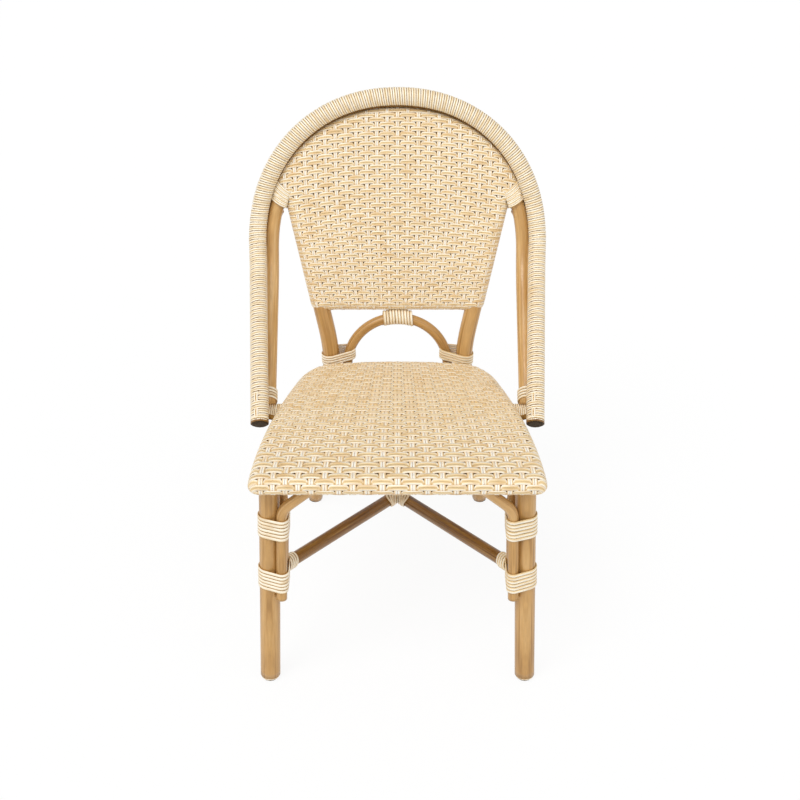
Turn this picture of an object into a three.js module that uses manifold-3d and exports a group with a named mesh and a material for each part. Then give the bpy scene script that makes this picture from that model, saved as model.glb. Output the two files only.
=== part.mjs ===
// A rattan bistro chair: bent poles, a woven seat and back, and cane bindings at the joints.
// Millimetres, +Z up. The chair faces -Y, and left is the side of -X.
import * as THREE from 'three';
import { mergeVertices } from 'three/addons/utils/BufferGeometryUtils.js';
import Module from 'manifold-3d';

const wasm = await Module();
wasm.setup();

// Clearances and overruns
const clearance = 0.3;
const cutOverrun = 6;

// Poles
const frontLegDiameter = 34;
const rearLegDiameter = 30;
const hoopDiameter = 27;
const innerHoopDiameter = 26;
const railDiameter = 26;
const braceDiameter = 18;
const archDiameter = 18;
const crossBarDiameter = 20;
const stretcherDiameter = 22;

// Cane
const weaveThickness = 2.4;
const wrapThickness = 2.4;
const caneWidth = 5.8;
const caneThickness = 2.4;
const caneGap = 0.8;

// Seat: heights and places of the rails' centre lines, with y measured back from the front legs
const seatRailHeight = 420.5;
const seatRailFront = -35;
const seatPitch = 3.5;
const seatFrontHalfWidth = 217;
const seatRearHalfWidth = 164;
const seatSideDepth = 353;
const seatSideBow = 10.8;
const seatCornerHalfWidth = 148;
const seatBackHalfWidth = 100;
const seatBackDepth = 412;
const seatBackBow = 6;
const crossBarPlaces = [158, 268];

// Front legs, straight and splayed outwards
const frontFootSpacing = 440;
const frontLegSplay = 2.45;

// Rear legs, bent behind the seat and running up as the stiles, whose top is below the outer hoop's
const rearFootSpacing = 344;
const rearFootBack = 547;
const kneeSpacing = 236;
const kneeAboveRails = 4.5;
const kneeBend = 50;
const stileTopSpacing = 372;
const stileTopDrop = 155;

// Back: the plane of the stiles and the inner hoop, and the outer hoop set in front of it
const backLean = 18.1;
const backPlaneSetback = 391;
const hoopSetForward = 16;

// Outer hoop, drawn flat as an arch with legs, then bent forward at the shoulders
const hoopHalfWidth = 249;
const hoopTopHeight = 861;
const hoopArchRise = 252;
const archPower = 2.11;
const hoopEndBack = 170;
const hoopLegPitch = 38.4;
const hoopShoulderBend = 62;
const hoopSeatGap = 3.5;
const hoopBareEnd = 2.5;

// Inner hoop, whose bare legs run down behind the outer hoop's
const innerHalfWidth = 226;
const innerTopDrop = 33.5;
const innerArchRise = 236;
const innerArchPower = 2.15;
const innerShoulderBend = 55;
const hoopLegSpacing = 33.5;
const innerPoleSeatGap = 8;
const shoulderDrop = 175;

// Pegs between the seat and the inner hoop's feet
const pegDiameter = 22;
const pegBack = 229;
const pegOverhang = 9;
const footSeatDepth = 2;

// Dowels between the side rails and the outer hoop's ends
const dowelDiameter = 9;
const dowelFromEnd = 17;
const dowelBite = 6;

// Bottom rail of the back, and the small arch under it, placed from the knees of the rear legs
const bottomRailAboveKnee = 92;
const archFootInset = 26;
const archFootBelowKnee = 29;
const archFootBehindKnee = 13;

// Braces, which turn below the seat's rails; the front ones end below the stretchers
const frontBraceAngle = 38;
const braceFootBelowStretcher = 37;
const braceTurnDrop = 59.5;
const braceBend = 18;
const frontBraceRailShare = 0.575;
const frontSideBracePlace = 122;
const rearBraceLength = 73;
const rearBraceTurnDrop = 75.5;
const rearSideBracePlace = 308;
const rearBackBraceHalfWidth = 55;
const rearSideBraceAngle = 104;
const rearBackBraceAngle = 18;

// Stretchers: how far their ends are below the seat's rails
const stretcherFrontDrop = 199.5;
const stretcherRearDrop = 257.5;

// Bindings: how far the middle of each is from the turn of its braces or the foot of its arch, and its turns
const upperBindingBelowTurn = 36;
const rearBindingBelowTurn = 39;
const legBindingTurns = 6;
const rearBindingTurns = 4;
const stretcherBindingTurns = 3;
const stretcherBindingOut = 8;
const stretcherRearBindingOut = 17;
const stileBindingTurns = 2;
const stileBindingAboveFoot = 25.6;
const stileBindingRoom = 0.9;
const archBindingTurns = 8;
const archBindingRoom = 1.5;
const crossingBindingTurns = 4;
const footBindingTurns = 3;
const footBindingUp = 26;

// Feet
const glideDiameter = 27;
const glideHeight = 3.5;
const glideStemDiameter = 8;
const glideStemLength = 14;
const collarHeight = 3;
const collarInset = 0.6;
const endCapThickness = 2;
const endCapInset = 1.4;
const edgeRound = 0.8;

// Facets
const legSides = 12;
const poleSides = 8;
const hoopSides = 10;
const braceSides = 8;
const roundSides = 12;
const archSteps = 12;
const smallArchSteps = 16;
const bendSteps = 4;
const bindingSteps = 10;
const outlineHalvings = 30;

const toRadians = THREE.MathUtils.degToRad;
const point = (x, y, z) => new THREE.Vector3(x, y, z);
const rear = point(0, 1, 0);
const upward = point(0, 0, 1);

// Solids

function dropFlatFaces(geometry) {
  const corners = Array.from(geometry.index.array);
  const kept = [];
  for (let i = 0; i < corners.length; i += 3) {
    const [a, b, c] = corners.slice(i, i + 3);
    if (a !== b && b !== c && c !== a) kept.push(a, b, c);
  }
  geometry.setIndex(kept);
  return geometry;
}

function weld(geometry) {
  const bare = geometry.clone();
  bare.deleteAttribute('normal');
  bare.deleteAttribute('uv');
  return dropFlatFaces(mergeVertices(bare));
}

function toSolid(geometry) {
  const welded = weld(geometry);
  return new wasm.Manifold(new wasm.Mesh({
    numProp: 3,
    vertProperties: new Float32Array(welded.attributes.position.array),
    triVerts: new Uint32Array(welded.index.array),
  }));
}

function toGeometry(solid) {
  const mesh = solid.getMesh();
  const geometry = new THREE.BufferGeometry();
  geometry.setAttribute('position', new THREE.BufferAttribute(mesh.vertProperties, 3));
  geometry.setIndex(new THREE.BufferAttribute(mesh.triVerts, 1));
  return geometry;
}

// Cuts the tools out of a piece and keeps its body, without the offcuts.
function cut(geometry, ...tools) {
  let solid = toSolid(geometry);
  for (const tool of tools) solid = solid.subtract(toSolid(tool));
  const bodies = solid.decompose();
  return toGeometry(bodies.reduce((best, body) => (body.volume() > best.volume() ? body : best)));
}

function join(first, ...others) {
  let solid = toSolid(first);
  for (const other of others) solid = solid.add(toSolid(other));
  return toGeometry(solid);
}

function mirrored(geometry) {
  const copy = geometry.clone().scale(-1, 1, 1);
  const index = copy.index.array;
  for (let i = 0; i < index.length; i += 3) {
    [index[i + 1], index[i + 2]] = [index[i + 2], index[i + 1]];
  }
  return copy;
}

function faceOutwards(positions, index) {
  const corner = (i) => point(...positions.slice(3 * i, 3 * i + 3));
  let sixVolumes = 0;
  for (let i = 0; i < index.length; i += 3) {
    const [a, b, c] = [index[i], index[i + 1], index[i + 2]].map(corner);
    sixVolumes += a.dot(b.cross(c));
  }
  if (sixVolumes < 0) {
    for (let i = 0; i < index.length; i += 3) [index[i + 1], index[i + 2]] = [index[i + 2], index[i + 1]];
  }
}

// A closed body through rings of equally many points, with flat ends.
function loft(rings) {
  const count = rings[0].length;
  const positions = rings.flat().flatMap((p) => [p.x, p.y, p.z]);
  const index = [];
  for (let i = 0; i + 1 < rings.length; i += 1) {
    for (let j = 0; j < count; j += 1) {
      const next = (j + 1) % count;
      const [a, b] = [i * count + j, i * count + next];
      const [c, d] = [a + count, b + count];
      index.push(a, b, d, a, d, c);
    }
  }
  const top = (rings.length - 1) * count;
  for (let j = 1; j + 1 < count; j += 1) {
    index.push(0, j + 1, j);
    index.push(top, top + j, top + j + 1);
  }
  faceOutwards(positions, index);
  const geometry = new THREE.BufferGeometry();
  geometry.setAttribute('position', new THREE.Float32BufferAttribute(positions, 3));
  geometry.setIndex(index);
  return geometry;
}

// Directions across a path at each of its points, carried along it without twist.
function framesAlong(points) {
  const tangents = points.map((p, i) => {
    const before = points[Math.max(i - 1, 0)];
    const after = points[Math.min(i + 1, points.length - 1)];
    return after.clone().sub(before).normalize();
  });
  const start = Math.abs(tangents[0].y) < Math.abs(tangents[0].z) ? rear : upward;
  let across = start.clone().cross(tangents[0]).normalize();
  return tangents.map((tangent) => {
    across = across.clone().addScaledVector(tangent, -across.dot(tangent)).normalize();
    return { tangent, across, over: tangent.clone().cross(across) };
  });
}

function pole(points, radius, sides = poleSides) {
  const frames = framesAlong(points);
  return loft(points.map((centre, i) => Array.from({ length: sides }, (_, j) => {
    const angle = ((j + 0.5) / sides) * 2 * Math.PI;
    return centre.clone()
      .addScaledVector(frames[i].across, radius * Math.cos(angle))
      .addScaledVector(frames[i].over, radius * Math.sin(angle));
  })));
}

// The room that a pole takes with its clearance; the facets' flats clear it by as much as the corners.
function poleRoom(points, radius, sides = poleSides) {
  return pole(points, radius + clearance / Math.cos(Math.PI / sides), sides);
}

// A polyline whose inner corners are rounded, as a pole is bent.
function bentPath(corners, bend, steps = bendSteps) {
  const points = [corners[0]];
  for (let i = 1; i + 1 < corners.length; i += 1) {
    const corner = corners[i];
    const toward = (other) => other.clone().sub(corner).setLength(bend).add(corner);
    const curve = new THREE.QuadraticBezierCurve3(toward(corners[i - 1]), corner, toward(corners[i + 1]));
    points.push(...curve.getPoints(steps));
  }
  points.push(corners[corners.length - 1]);
  return points;
}

// A body turned round the vertical through pairs of radius and height.
function turned(profile) {
  const outline = profile.map(([radius, height]) => new THREE.Vector2(radius, height));
  return weld(new THREE.LatheGeometry(outline, roundSides).rotateX(Math.PI / 2));
}

function disc(diameter, height) {
  return turned([[0, 0], [diameter / 2, 0], [diameter / 2, height], [0, height]]);
}

// Meshes are kept by name in the group of the part of the chair that they belong to.
const wood = new THREE.MeshStandardMaterial({ color: '#b98d52', roughness: 0.42, metalness: 0 });
const darkWood = new THREE.MeshStandardMaterial({ color: '#8f6a36', roughness: 0.45, metalness: 0 });
const weave = new THREE.MeshStandardMaterial({ color: '#ecd9b0', roughness: 0.55, metalness: 0 });
const cane = new THREE.MeshStandardMaterial({ color: '#f3e3bd', roughness: 0.5, metalness: 0 });
const glideBrown = new THREE.MeshStandardMaterial({ color: '#4a3526', roughness: 0.6, metalness: 0 });
const capBrown = new THREE.MeshStandardMaterial({ color: '#3a3228', roughness: 0.7, metalness: 0 });

const underframe = new THREE.Group();
const seat = new THREE.Group();
const back = new THREE.Group();
const bindings = new THREE.Group();

function addMesh(group, name, geometry, material) {
  const mesh = new THREE.Mesh(geometry, material);
  mesh.name = name;
  group.add(mesh);
  return mesh;
}

function addPair(group, name, rightGeometry, material) {
  addMesh(group, `${name}_right`, rightGeometry, material);
  addMesh(group, `${name}_left`, mirrored(rightGeometry), material);
}

// Seat rails, on a plane that falls towards the back
const seatFall = Math.tan(toRadians(seatPitch));
const seatPoint = (x, depth, rise = 0) => point(
  x,
  seatRailFront + depth,
  seatRailHeight - seatFall * depth + rise,
);
const railRadius = railDiameter / 2;
const railRoom = railRadius + clearance;
const seatFrontRailLength = 2 * (seatFrontHalfWidth + railRadius);
const wovenRadius = railRoom + weaveThickness;

const sideRailStart = railRadius + clearance;
const sideControl = new THREE.Vector2(
  (seatFrontHalfWidth + seatRearHalfWidth) / 2 + 2 * seatSideBow,
  (sideRailStart + seatSideDepth) / 2,
);
const sideCurve = new THREE.QuadraticBezierCurve(
  new THREE.Vector2(seatFrontHalfWidth, sideRailStart),
  sideControl,
  new THREE.Vector2(seatRearHalfWidth, seatSideDepth),
);
const cornerCurve = new THREE.QuadraticBezierCurve(
  new THREE.Vector2(seatRearHalfWidth, seatSideDepth),
  new THREE.Vector2(seatCornerHalfWidth, seatBackDepth - seatBackBow / 2),
  new THREE.Vector2(seatBackHalfWidth, seatBackDepth),
);
const backCurve = new THREE.QuadraticBezierCurve(
  new THREE.Vector2(seatBackHalfWidth, seatBackDepth),
  new THREE.Vector2(seatBackHalfWidth / 2, seatBackDepth + seatBackBow),
  new THREE.Vector2(0, seatBackDepth + seatBackBow),
);
const rightRailOutline = [
  ...sideCurve.getPoints(bendSteps),
  ...cornerCurve.getPoints(bendSteps).slice(1),
  ...backCurve.getPoints(2).slice(1),
];
const railOutline = [
  ...rightRailOutline,
  ...rightRailOutline.slice(0, -1).reverse().map((p) => new THREE.Vector2(-p.x, p.y)),
];

function sideRailX(depth) {
  const next = rightRailOutline.findIndex((p) => p.y >= depth);
  const [a, b] = [rightRailOutline[Math.max(next - 1, 0)], rightRailOutline[next]];
  return a === b ? a.x : THREE.MathUtils.mapLinear(depth, a.y, b.y, a.x, b.x);
}

function backRailDepth(x) {
  const next = rightRailOutline.findIndex((p, i) => i > bendSteps && p.x <= x);
  const [a, b] = [rightRailOutline[next - 1], rightRailOutline[next]];
  return THREE.MathUtils.mapLinear(x, a.x, b.x, a.y, b.y);
}

const frontRailPath = [seatPoint(-seatFrontRailLength / 2, 0), seatPoint(seatFrontRailLength / 2, 0)];
const bentRailPath = railOutline.map((p) => seatPoint(p.x, p.y));
const frontRailRoom = poleRoom(frontRailPath, railRadius);
const bentRailRoom = poleRoom([
  seatPoint(seatFrontHalfWidth, railRadius),
  ...bentRailPath.slice(1, -1),
  seatPoint(-seatFrontHalfWidth, railRadius),
], railRadius);

const crossBarRise = railRadius - clearance - crossBarDiameter / 2;
const crossBarPaths = crossBarPlaces.map((depth) => {
  const x = sideRailX(depth);
  return [seatPoint(-x, depth, crossBarRise), seatPoint(x, depth, crossBarRise)];
});

// Legs
const footHeight = glideHeight + collarHeight + 2 * clearance;
const legRadius = frontLegDiameter / 2;
const legTopHeight = seatRailHeight + seatFall * seatRailFront;
const frontLegAt = (height) => point(
  frontFootSpacing / 2 - Math.tan(toRadians(frontLegSplay)) * height,
  0,
  height,
);
const frontLegPath = [frontLegAt(-cutOverrun), frontLegAt(legTopHeight)];

const rearLegRadius = rearLegDiameter / 2;
const kneeHeight = seatRailHeight + kneeAboveRails;
const stileTopHeight = hoopTopHeight - stileTopDrop;
const stileSlope = (stileTopSpacing - kneeSpacing) / 2 / (stileTopHeight - kneeHeight);
const leanSlope = Math.tan(toRadians(backLean));
const planeY = (height) => backPlaneSetback + leanSlope * (height - kneeHeight);
const rearFoot = point(rearFootSpacing / 2, rearFootBack, 0);
const rearKnee = point(kneeSpacing / 2, planeY(kneeHeight), kneeHeight);
const stileAt = (height) => point(
  kneeSpacing / 2 + stileSlope * (height - kneeHeight),
  planeY(height),
  height,
);
const rearLegDirection = rearKnee.clone().sub(rearFoot).normalize();
const rearLegAt = (height) => rearFoot.clone()
  .addScaledVector(rearLegDirection, (height - rearFoot.z) / rearLegDirection.z);
const rearLegPath = bentPath([rearLegAt(-2 * cutOverrun), rearKnee, stileAt(stileTopHeight)], kneeBend);
const bothSides = (geometries) => geometries.flatMap((geometry) => [geometry, mirrored(geometry)]);
const frontLegRooms = bothSides([poleRoom(frontLegPath, legRadius, legSides)]);
const rearLegRooms = bothSides([poleRoom(rearLegPath, rearLegRadius, legSides)]);

function floorCutter(height) {
  const span = 2 * Math.max(rearFootBack, frontFootSpacing);
  const depth = 3 * cutOverrun;
  return new THREE.BoxGeometry(span, span, depth).translate(0, rearFootBack / 2, height - depth / 2);
}

// Hoops: a flat drawing gives x for a length s measured down from the top, and a side view bends it.
const leanDown = point(0, -Math.sin(toRadians(backLean)), -Math.cos(toRadians(backLean)));
const leanNormal = point(0, Math.cos(toRadians(backLean)), -Math.sin(toRadians(backLean)));
const legForward = point(0, -Math.cos(toRadians(hoopLegPitch)), -Math.sin(toRadians(hoopLegPitch)));
const legNormal = point(0, Math.sin(toRadians(hoopLegPitch)), -Math.cos(toRadians(hoopLegPitch)));

// Where the line down from the top meets the leg's line, both in the side view.
function kneeLength(top, legPoint) {
  const gap = legPoint.clone().sub(top);
  return gap.dot(legNormal) / leanDown.dot(legNormal);
}

function sideView(top, straight, bend) {
  const knee = top.clone().addScaledVector(leanDown, straight);
  return (s) => {
    if (s <= straight - bend) return top.clone().addScaledVector(leanDown, s);
    if (s >= straight + bend) return knee.clone().addScaledVector(legForward, s - straight);
    const curve = new THREE.QuadraticBezierCurve3(
      knee.clone().addScaledVector(leanDown, -bend),
      knee,
      knee.clone().addScaledVector(legForward, bend),
    );
    return curve.getPoint((s - straight + bend) / (2 * bend));
  };
}

// Half of a hoop from its top to its foot: a power arch, then a leg that draws in to the foot.
function hoopHalf({ halfWidth, rise, power, footHalfWidth, top, straight, bend, length }) {
  const view = sideView(top, straight, bend);
  const flat = [];
  for (let i = 0; i <= archSteps; i += 1) {
    const angle = (i / archSteps) * (Math.PI / 2);
    flat.push([halfWidth * Math.sin(angle) ** (2 / power), rise * (1 - Math.cos(angle) ** (2 / power))]);
  }
  const bendEnd = straight + bend;
  for (let i = 1; i <= bendSteps; i += 1) {
    const s = rise + ((bendEnd - rise) * i) / bendSteps;
    if (bendEnd > rise) flat.push([halfWidth, s]);
  }
  flat.push([footHalfWidth, length]);
  const drawnIn = (s) => THREE.MathUtils.mapLinear(s, rise, length, halfWidth, footHalfWidth);
  return flat.map(([x, s]) => view(s).setX(s <= rise ? x : drawnIn(s)));
}

function wholeHoop(half) {
  return [...half.slice(1).reverse().map((p) => point(-p.x, p.y, p.z)), ...half];
}

const hoopRadius = hoopDiameter / 2;
const wrappedRadius = hoopRadius + clearance + wrapThickness;
const hoopTop = point(0, planeY(hoopTopHeight), hoopTopHeight).addScaledVector(leanNormal, -hoopSetForward);
const hoopEndDepth = hoopEndBack - seatRailFront;
const hoopEndHalfWidth = sideRailX(hoopEndDepth) + wovenRadius + hoopSeatGap + wrappedRadius;
const hoopEnd = seatPoint(hoopEndHalfWidth, hoopEndDepth);
const hoopStraight = kneeLength(hoopTop, hoopEnd);
const hoopKnee = hoopTop.clone().addScaledVector(leanDown, hoopStraight);
const hoopLegLength = point(0, hoopEnd.y, hoopEnd.z).distanceTo(hoopKnee);
const hoopPath = wholeHoop(hoopHalf({
  halfWidth: hoopHalfWidth,
  rise: hoopArchRise,
  power: archPower,
  footHalfWidth: hoopEndHalfWidth,
  top: hoopTop,
  straight: hoopStraight,
  bend: hoopShoulderBend,
  length: hoopStraight + hoopLegLength,
}));

const innerRadius = innerHoopDiameter / 2;
const innerRoom = innerRadius + clearance;
const innerWovenRadius = innerRoom + weaveThickness;
const innerTop = hoopTop.clone()
  .addScaledVector(leanNormal, hoopSetForward)
  .addScaledVector(leanDown, innerTopDrop);
const innerLegPoint = hoopKnee.clone().addScaledVector(legNormal, hoopLegSpacing);
const innerStraight = kneeLength(innerTop, innerLegPoint);
const innerKnee = innerTop.clone().addScaledVector(leanDown, innerStraight);
const innerLegLength = (innerKnee.y - pegBack) / -legForward.y;
const innerFoot = innerKnee.clone().addScaledVector(legForward, innerLegLength);
const seatEdgeAtPeg = sideRailX(pegBack - seatRailFront) + wovenRadius;
const innerFootHalfWidth = seatEdgeAtPeg + innerPoleSeatGap + innerRadius;
const innerHalf = hoopHalf({
  halfWidth: innerHalfWidth,
  rise: innerArchRise,
  power: innerArchPower,
  footHalfWidth: innerFootHalfWidth,
  top: innerTop,
  straight: innerStraight,
  bend: innerShoulderBend,
  length: innerStraight + innerLegLength,
});
const innerPath = wholeHoop(innerHalf);

// Pegs carry the inner hoop's feet at the seat's sides.
const pegRadius = pegDiameter / 2;
const pegHeight = innerFoot.z - pegRadius - footSeatDepth;
const pegPath = [
  point(sideRailX(pegBack - seatRailFront), pegBack, pegHeight),
  point(innerFootHalfWidth + pegOverhang, pegBack, pegHeight),
];
const pegRooms = bothSides([poleRoom(pegPath, pegRadius)]);

// Dowels run from the side rails through the wrapping into the outer hoop's ends.
const hoopLegAxis = hoopPath[hoopPath.length - 1].clone().sub(hoopPath[hoopPath.length - 2]).normalize();
const dowelHoopPoint = hoopEnd.clone().addScaledVector(hoopLegAxis, -dowelFromEnd);
const dowelRailPoint = seatPoint(
  sideRailX(dowelHoopPoint.y - seatRailFront),
  dowelHoopPoint.y - seatRailFront,
);
const dowelAxis = dowelHoopPoint.clone().sub(dowelRailPoint).normalize();
const dowelPath = [
  dowelRailPoint.clone().addScaledVector(dowelAxis, -dowelBite),
  dowelHoopPoint.clone().addScaledVector(dowelAxis, dowelBite),
];
const dowelRadius = dowelDiameter / 2;
const dowelRooms = bothSides([poleRoom(dowelPath, dowelRadius)]);

// Braces lie beside a leg, then bend away to a rail.
function legFrame(at, direction) {
  const inward = point(-1, 0, 0);
  const toCentre = inward.addScaledVector(direction, -inward.dot(direction)).normalize();
  return { at, direction, toCentre, toRear: toCentre.clone().cross(direction).normalize() };
}

const frontLegFrame = legFrame(frontLegAt, frontLegAt(1).sub(frontLegAt(0)).normalize());
const rearLegFrame = legFrame(rearLegAt, rearLegDirection);

const braceRadius = braceDiameter / 2;
const stretcherFrontHeight = seatRailHeight - stretcherFrontDrop;
const braceFootHeight = stretcherFrontHeight - braceFootBelowStretcher;
const braceTurnHeight = seatRailHeight - braceTurnDrop;
const rearBraceTurnHeight = seatRailHeight - rearBraceTurnDrop;
const rearBraceFootHeight = rearBraceTurnHeight - rearBraceLength;

// The brace's section beside a leg, in the plane across the leg
function braceCircle(poleRadius, angle) {
  const distance = poleRadius + braceRadius + clearance / Math.cos(Math.PI / braceSides);
  const turn = toRadians(angle);
  return { x: distance * Math.cos(turn), y: distance * Math.sin(turn), radius: braceRadius };
}

function bracePath(frame, poleRadius, angle, footHeight, turnHeight, railPoint) {
  const { x, y } = braceCircle(poleRadius, angle);
  const beside = (height) => frame.at(height)
    .addScaledVector(frame.toCentre, x)
    .addScaledVector(frame.toRear, y);
  return bentPath([beside(footHeight), beside(turnHeight), railPoint], braceBend);
}

const bracePaths = {
  front_brace: bracePath(
    frontLegFrame, legRadius, -frontBraceAngle, braceFootHeight, braceTurnHeight,
    seatPoint(seatFrontHalfWidth * frontBraceRailShare, 0),
  ),
  front_side_brace: bracePath(
    frontLegFrame, legRadius, frontBraceAngle, braceFootHeight, braceTurnHeight,
    seatPoint(sideRailX(frontSideBracePlace), frontSideBracePlace),
  ),
  rear_side_brace: bracePath(
    rearLegFrame, rearLegRadius, -rearSideBraceAngle, rearBraceFootHeight, rearBraceTurnHeight,
    seatPoint(sideRailX(rearSideBracePlace), rearSideBracePlace),
  ),
  rear_brace: bracePath(
    rearLegFrame, rearLegRadius, -rearBackBraceAngle, rearBraceFootHeight, rearBraceTurnHeight,
    seatPoint(rearBackBraceHalfWidth, backRailDepth(rearBackBraceHalfWidth)),
  ),
};
const braceRooms = bothSides(Object.values(bracePaths)
  .map((path) => poleRoom(path, braceRadius, braceSides)));

// Windings: one unbroken flat strand round the hull of the poles that it ties.

// The outline round circles, as points with their outward normals, in the plane across the winding.
function hullOutline(circles, margin) {
  const growth = 1 / Math.cos(Math.PI / bindingSteps);
  const reach = (circle, angle) => circle.x * Math.cos(angle) + circle.y * Math.sin(angle)
    + (circle.radius + margin) * growth;
  const widest = (angle) => circles.reduce((best, c) => (reach(c, angle) > reach(best, angle) ? c : best));
  const onCircle = (circle, angle) => {
    const normal = new THREE.Vector2(Math.cos(angle), Math.sin(angle));
    const middle = new THREE.Vector2(circle.x, circle.y);
    return { place: middle.addScaledVector(normal, (circle.radius + margin) * growth), normal };
  };
  const outline = [];
  for (let i = 0; i < bindingSteps; i += 1) {
    let [low, high] = [i, i + 1].map((step) => (step / bindingSteps) * 2 * Math.PI);
    const [from, to] = [widest(low), widest(high)];
    outline.push(onCircle(from, low));
    if (from === to) continue;
    for (let halving = 0; halving < outlineHalvings; halving += 1) {
      const middle = (low + high) / 2;
      if (widest(middle) === from) low = middle;
      else high = middle;
    }
    outline.push(onCircle(from, low), onCircle(to, low));
  }
  return outline;
}

const leastGaps = {};

const straightOn = () => point(0, 0, 0);

function winding(name, options) {
  const { centre, axis, first, second, circles, turns } = options;
  const { margin = 2 * clearance, follow = straightOn } = options;
  const pitch = caneWidth + caneGap;
  const outline = hullOutline(circles, margin + caneThickness / 2);
  const lengths = [0];
  outline.forEach((p, i) => {
    lengths.push(lengths[i] + p.place.distanceTo(outline[(i + 1) % outline.length].place));
  });
  const around = lengths[outline.length];
  const ring = (place, normal, rise) => {
    const out = first.clone().multiplyScalar(normal.x).addScaledVector(second, normal.y);
    const middle = centre.clone()
      .addScaledVector(first, place.x)
      .addScaledVector(second, place.y)
      .addScaledVector(axis, rise)
      .add(follow(rise));
    return [[1, 1], [1, -1], [-1, -1], [-1, 1]].map(([side, end]) => middle.clone()
      .addScaledVector(out, (side * caneThickness) / 2)
      .addScaledVector(axis, (end * caneWidth) / 2));
  };
  const rings = [];
  for (let i = 0; i <= turns * outline.length; i += 1) {
    const p = outline[i % outline.length];
    const share = Math.floor(i / outline.length) + lengths[i % outline.length] / around;
    rings.push(ring(p.place, p.normal, (share - turns / 2) * pitch));
  }
  // Each end runs straight on for a strand's width.
  const start = outline[0];
  const along = new THREE.Vector2(-start.normal.y, start.normal.x).multiplyScalar(caneWidth);
  const endRise = (turns / 2 + caneWidth / around) * pitch;
  rings.unshift(ring(start.place.clone().sub(along), start.normal, -endRise));
  rings.push(ring(start.place.clone().add(along), start.normal, endRise));

  let least = Infinity;
  for (let i = 0; i < rings.length; i += 1) {
    for (let j = i + Math.ceil(outline.length / 2); j < rings.length; j += 1) {
      for (const a of rings[i]) for (const b of rings[j]) least = Math.min(least, a.distanceTo(b));
    }
  }
  leastGaps[name] = Number(least.toFixed(2));
  return loft(rings);
}

function addWindingPair(name, options) {
  addPair(bindings, name, winding(name, options), cane);
}

// Feet: a glide with a stem in the pole's end, and a collar round the stem
const stemRadius = glideStemDiameter / 2;

function footCollar(diameter) {
  const outer = diameter / 2 - collarInset;
  const inner = stemRadius + clearance;
  return turned([[inner, 0], [outer, 0], [outer, collarHeight], [inner, collarHeight], [inner, 0]]);
}

function glide() {
  const radius = glideDiameter / 2;
  const stemTop = footHeight + glideStemLength;
  return turned([
    [0, 0], [radius - edgeRound, 0], [radius, edgeRound], [radius, glideHeight],
    [stemRadius, glideHeight], [stemRadius, stemTop], [0, stemTop],
  ]);
}

function stemRoom(foot) {
  const height = glideStemLength + cutOverrun + clearance;
  return disc(glideStemDiameter + 2 * clearance, height)
    .translate(foot.x, foot.y, footHeight - cutOverrun);
}

function addFoot(name, foot, diameter) {
  for (const [side, sign] of [['right', 1], ['left', -1]]) {
    const glideMesh = addMesh(underframe, `${name}_glide_${side}`, glide(), glideBrown);
    const collarMesh = addMesh(underframe, `${name}_foot_collar_${side}`, footCollar(diameter), cane);
    glideMesh.position.set(sign * foot.x, foot.y, 0);
    collarMesh.position.set(sign * foot.x, foot.y, glideHeight + clearance);
  }
}

const frontFoot = frontLegAt(footHeight);
const rearFootPlace = rearLegAt(footHeight);
addFoot('front', frontFoot, frontLegDiameter);
addFoot('rear', rearFootPlace, rearLegDiameter);

// Legs
const innerHoopRoom = poleRoom(innerPath, innerRadius);
const frontLeg = cut(
  pole(frontLegPath, legRadius, legSides),
  floorCutter(footHeight), stemRoom(frontFoot), frontRailRoom, bentRailRoom,
);
const rearLeg = cut(
  pole(rearLegPath, rearLegRadius, legSides),
  floorCutter(footHeight), stemRoom(rearFootPlace), innerHoopRoom,
);
addPair(underframe, 'front_leg', frontLeg, wood);
addPair(underframe, 'rear_leg', rearLeg, wood);

// Seat frame
addMesh(seat, 'seat_front_rail', pole(frontRailPath, railRadius), wood);
addMesh(seat, 'seat_bent_rail', cut(pole(bentRailPath, railRadius), frontRailRoom, ...dowelRooms), wood);
crossBarPaths.forEach((path, i) => {
  const name = ['seat_front_cross_bar', 'seat_rear_cross_bar'][i];
  addMesh(seat, name, cut(pole(path, crossBarDiameter / 2), bentRailRoom), wood);
});

// Braces
for (const [name, path] of Object.entries(bracePaths)) {
  const blank = pole(path, braceRadius, braceSides);
  addPair(underframe, name, cut(blank, frontRailRoom, bentRailRoom), wood);
}

// Pegs
addPair(seat, 'hoop_peg', cut(pole(pegPath, pegRadius), bentRailRoom), wood);

// The woven sheet over rails, with its edge wound round them
function wovenSheet(outline, front, thickness) {
  const shape = new THREE.Shape(outline);
  return new THREE.ExtrudeGeometry(shape, { depth: thickness, bevelEnabled: false })
    .translate(0, 0, front - thickness);
}

const seatOutline = [
  new THREE.Vector2(seatFrontHalfWidth, 0),
  ...railOutline,
  new THREE.Vector2(-seatFrontHalfWidth, 0),
];
const seatSheet = wovenSheet(seatOutline, wovenRadius, weaveThickness);
seatSheet.applyMatrix4(new THREE.Matrix4().makeBasis(
  point(1, 0, 0),
  point(0, 1, -seatFall),
  upward,
).setPosition(seatPoint(0, 0)));
const seatWeaveEnds = weaveThickness + clearance;
const frontRollPath = [
  seatPoint(-seatFrontRailLength / 2 - seatWeaveEnds, 0),
  seatPoint(seatFrontRailLength / 2 + seatWeaveEnds, 0),
];
const seatWeave = cut(
  join(pole(frontRollPath, wovenRadius), pole(bentRailPath, wovenRadius), seatSheet),
  frontRailRoom, bentRailRoom,
  ...frontLegRooms, ...rearLegRooms, ...braceRooms, ...pegRooms, ...dowelRooms,
  ...crossBarPaths.map((path) => poleRoom(path, crossBarDiameter / 2)),
);
addMesh(seat, 'seat_weave', seatWeave, weave);

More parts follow.
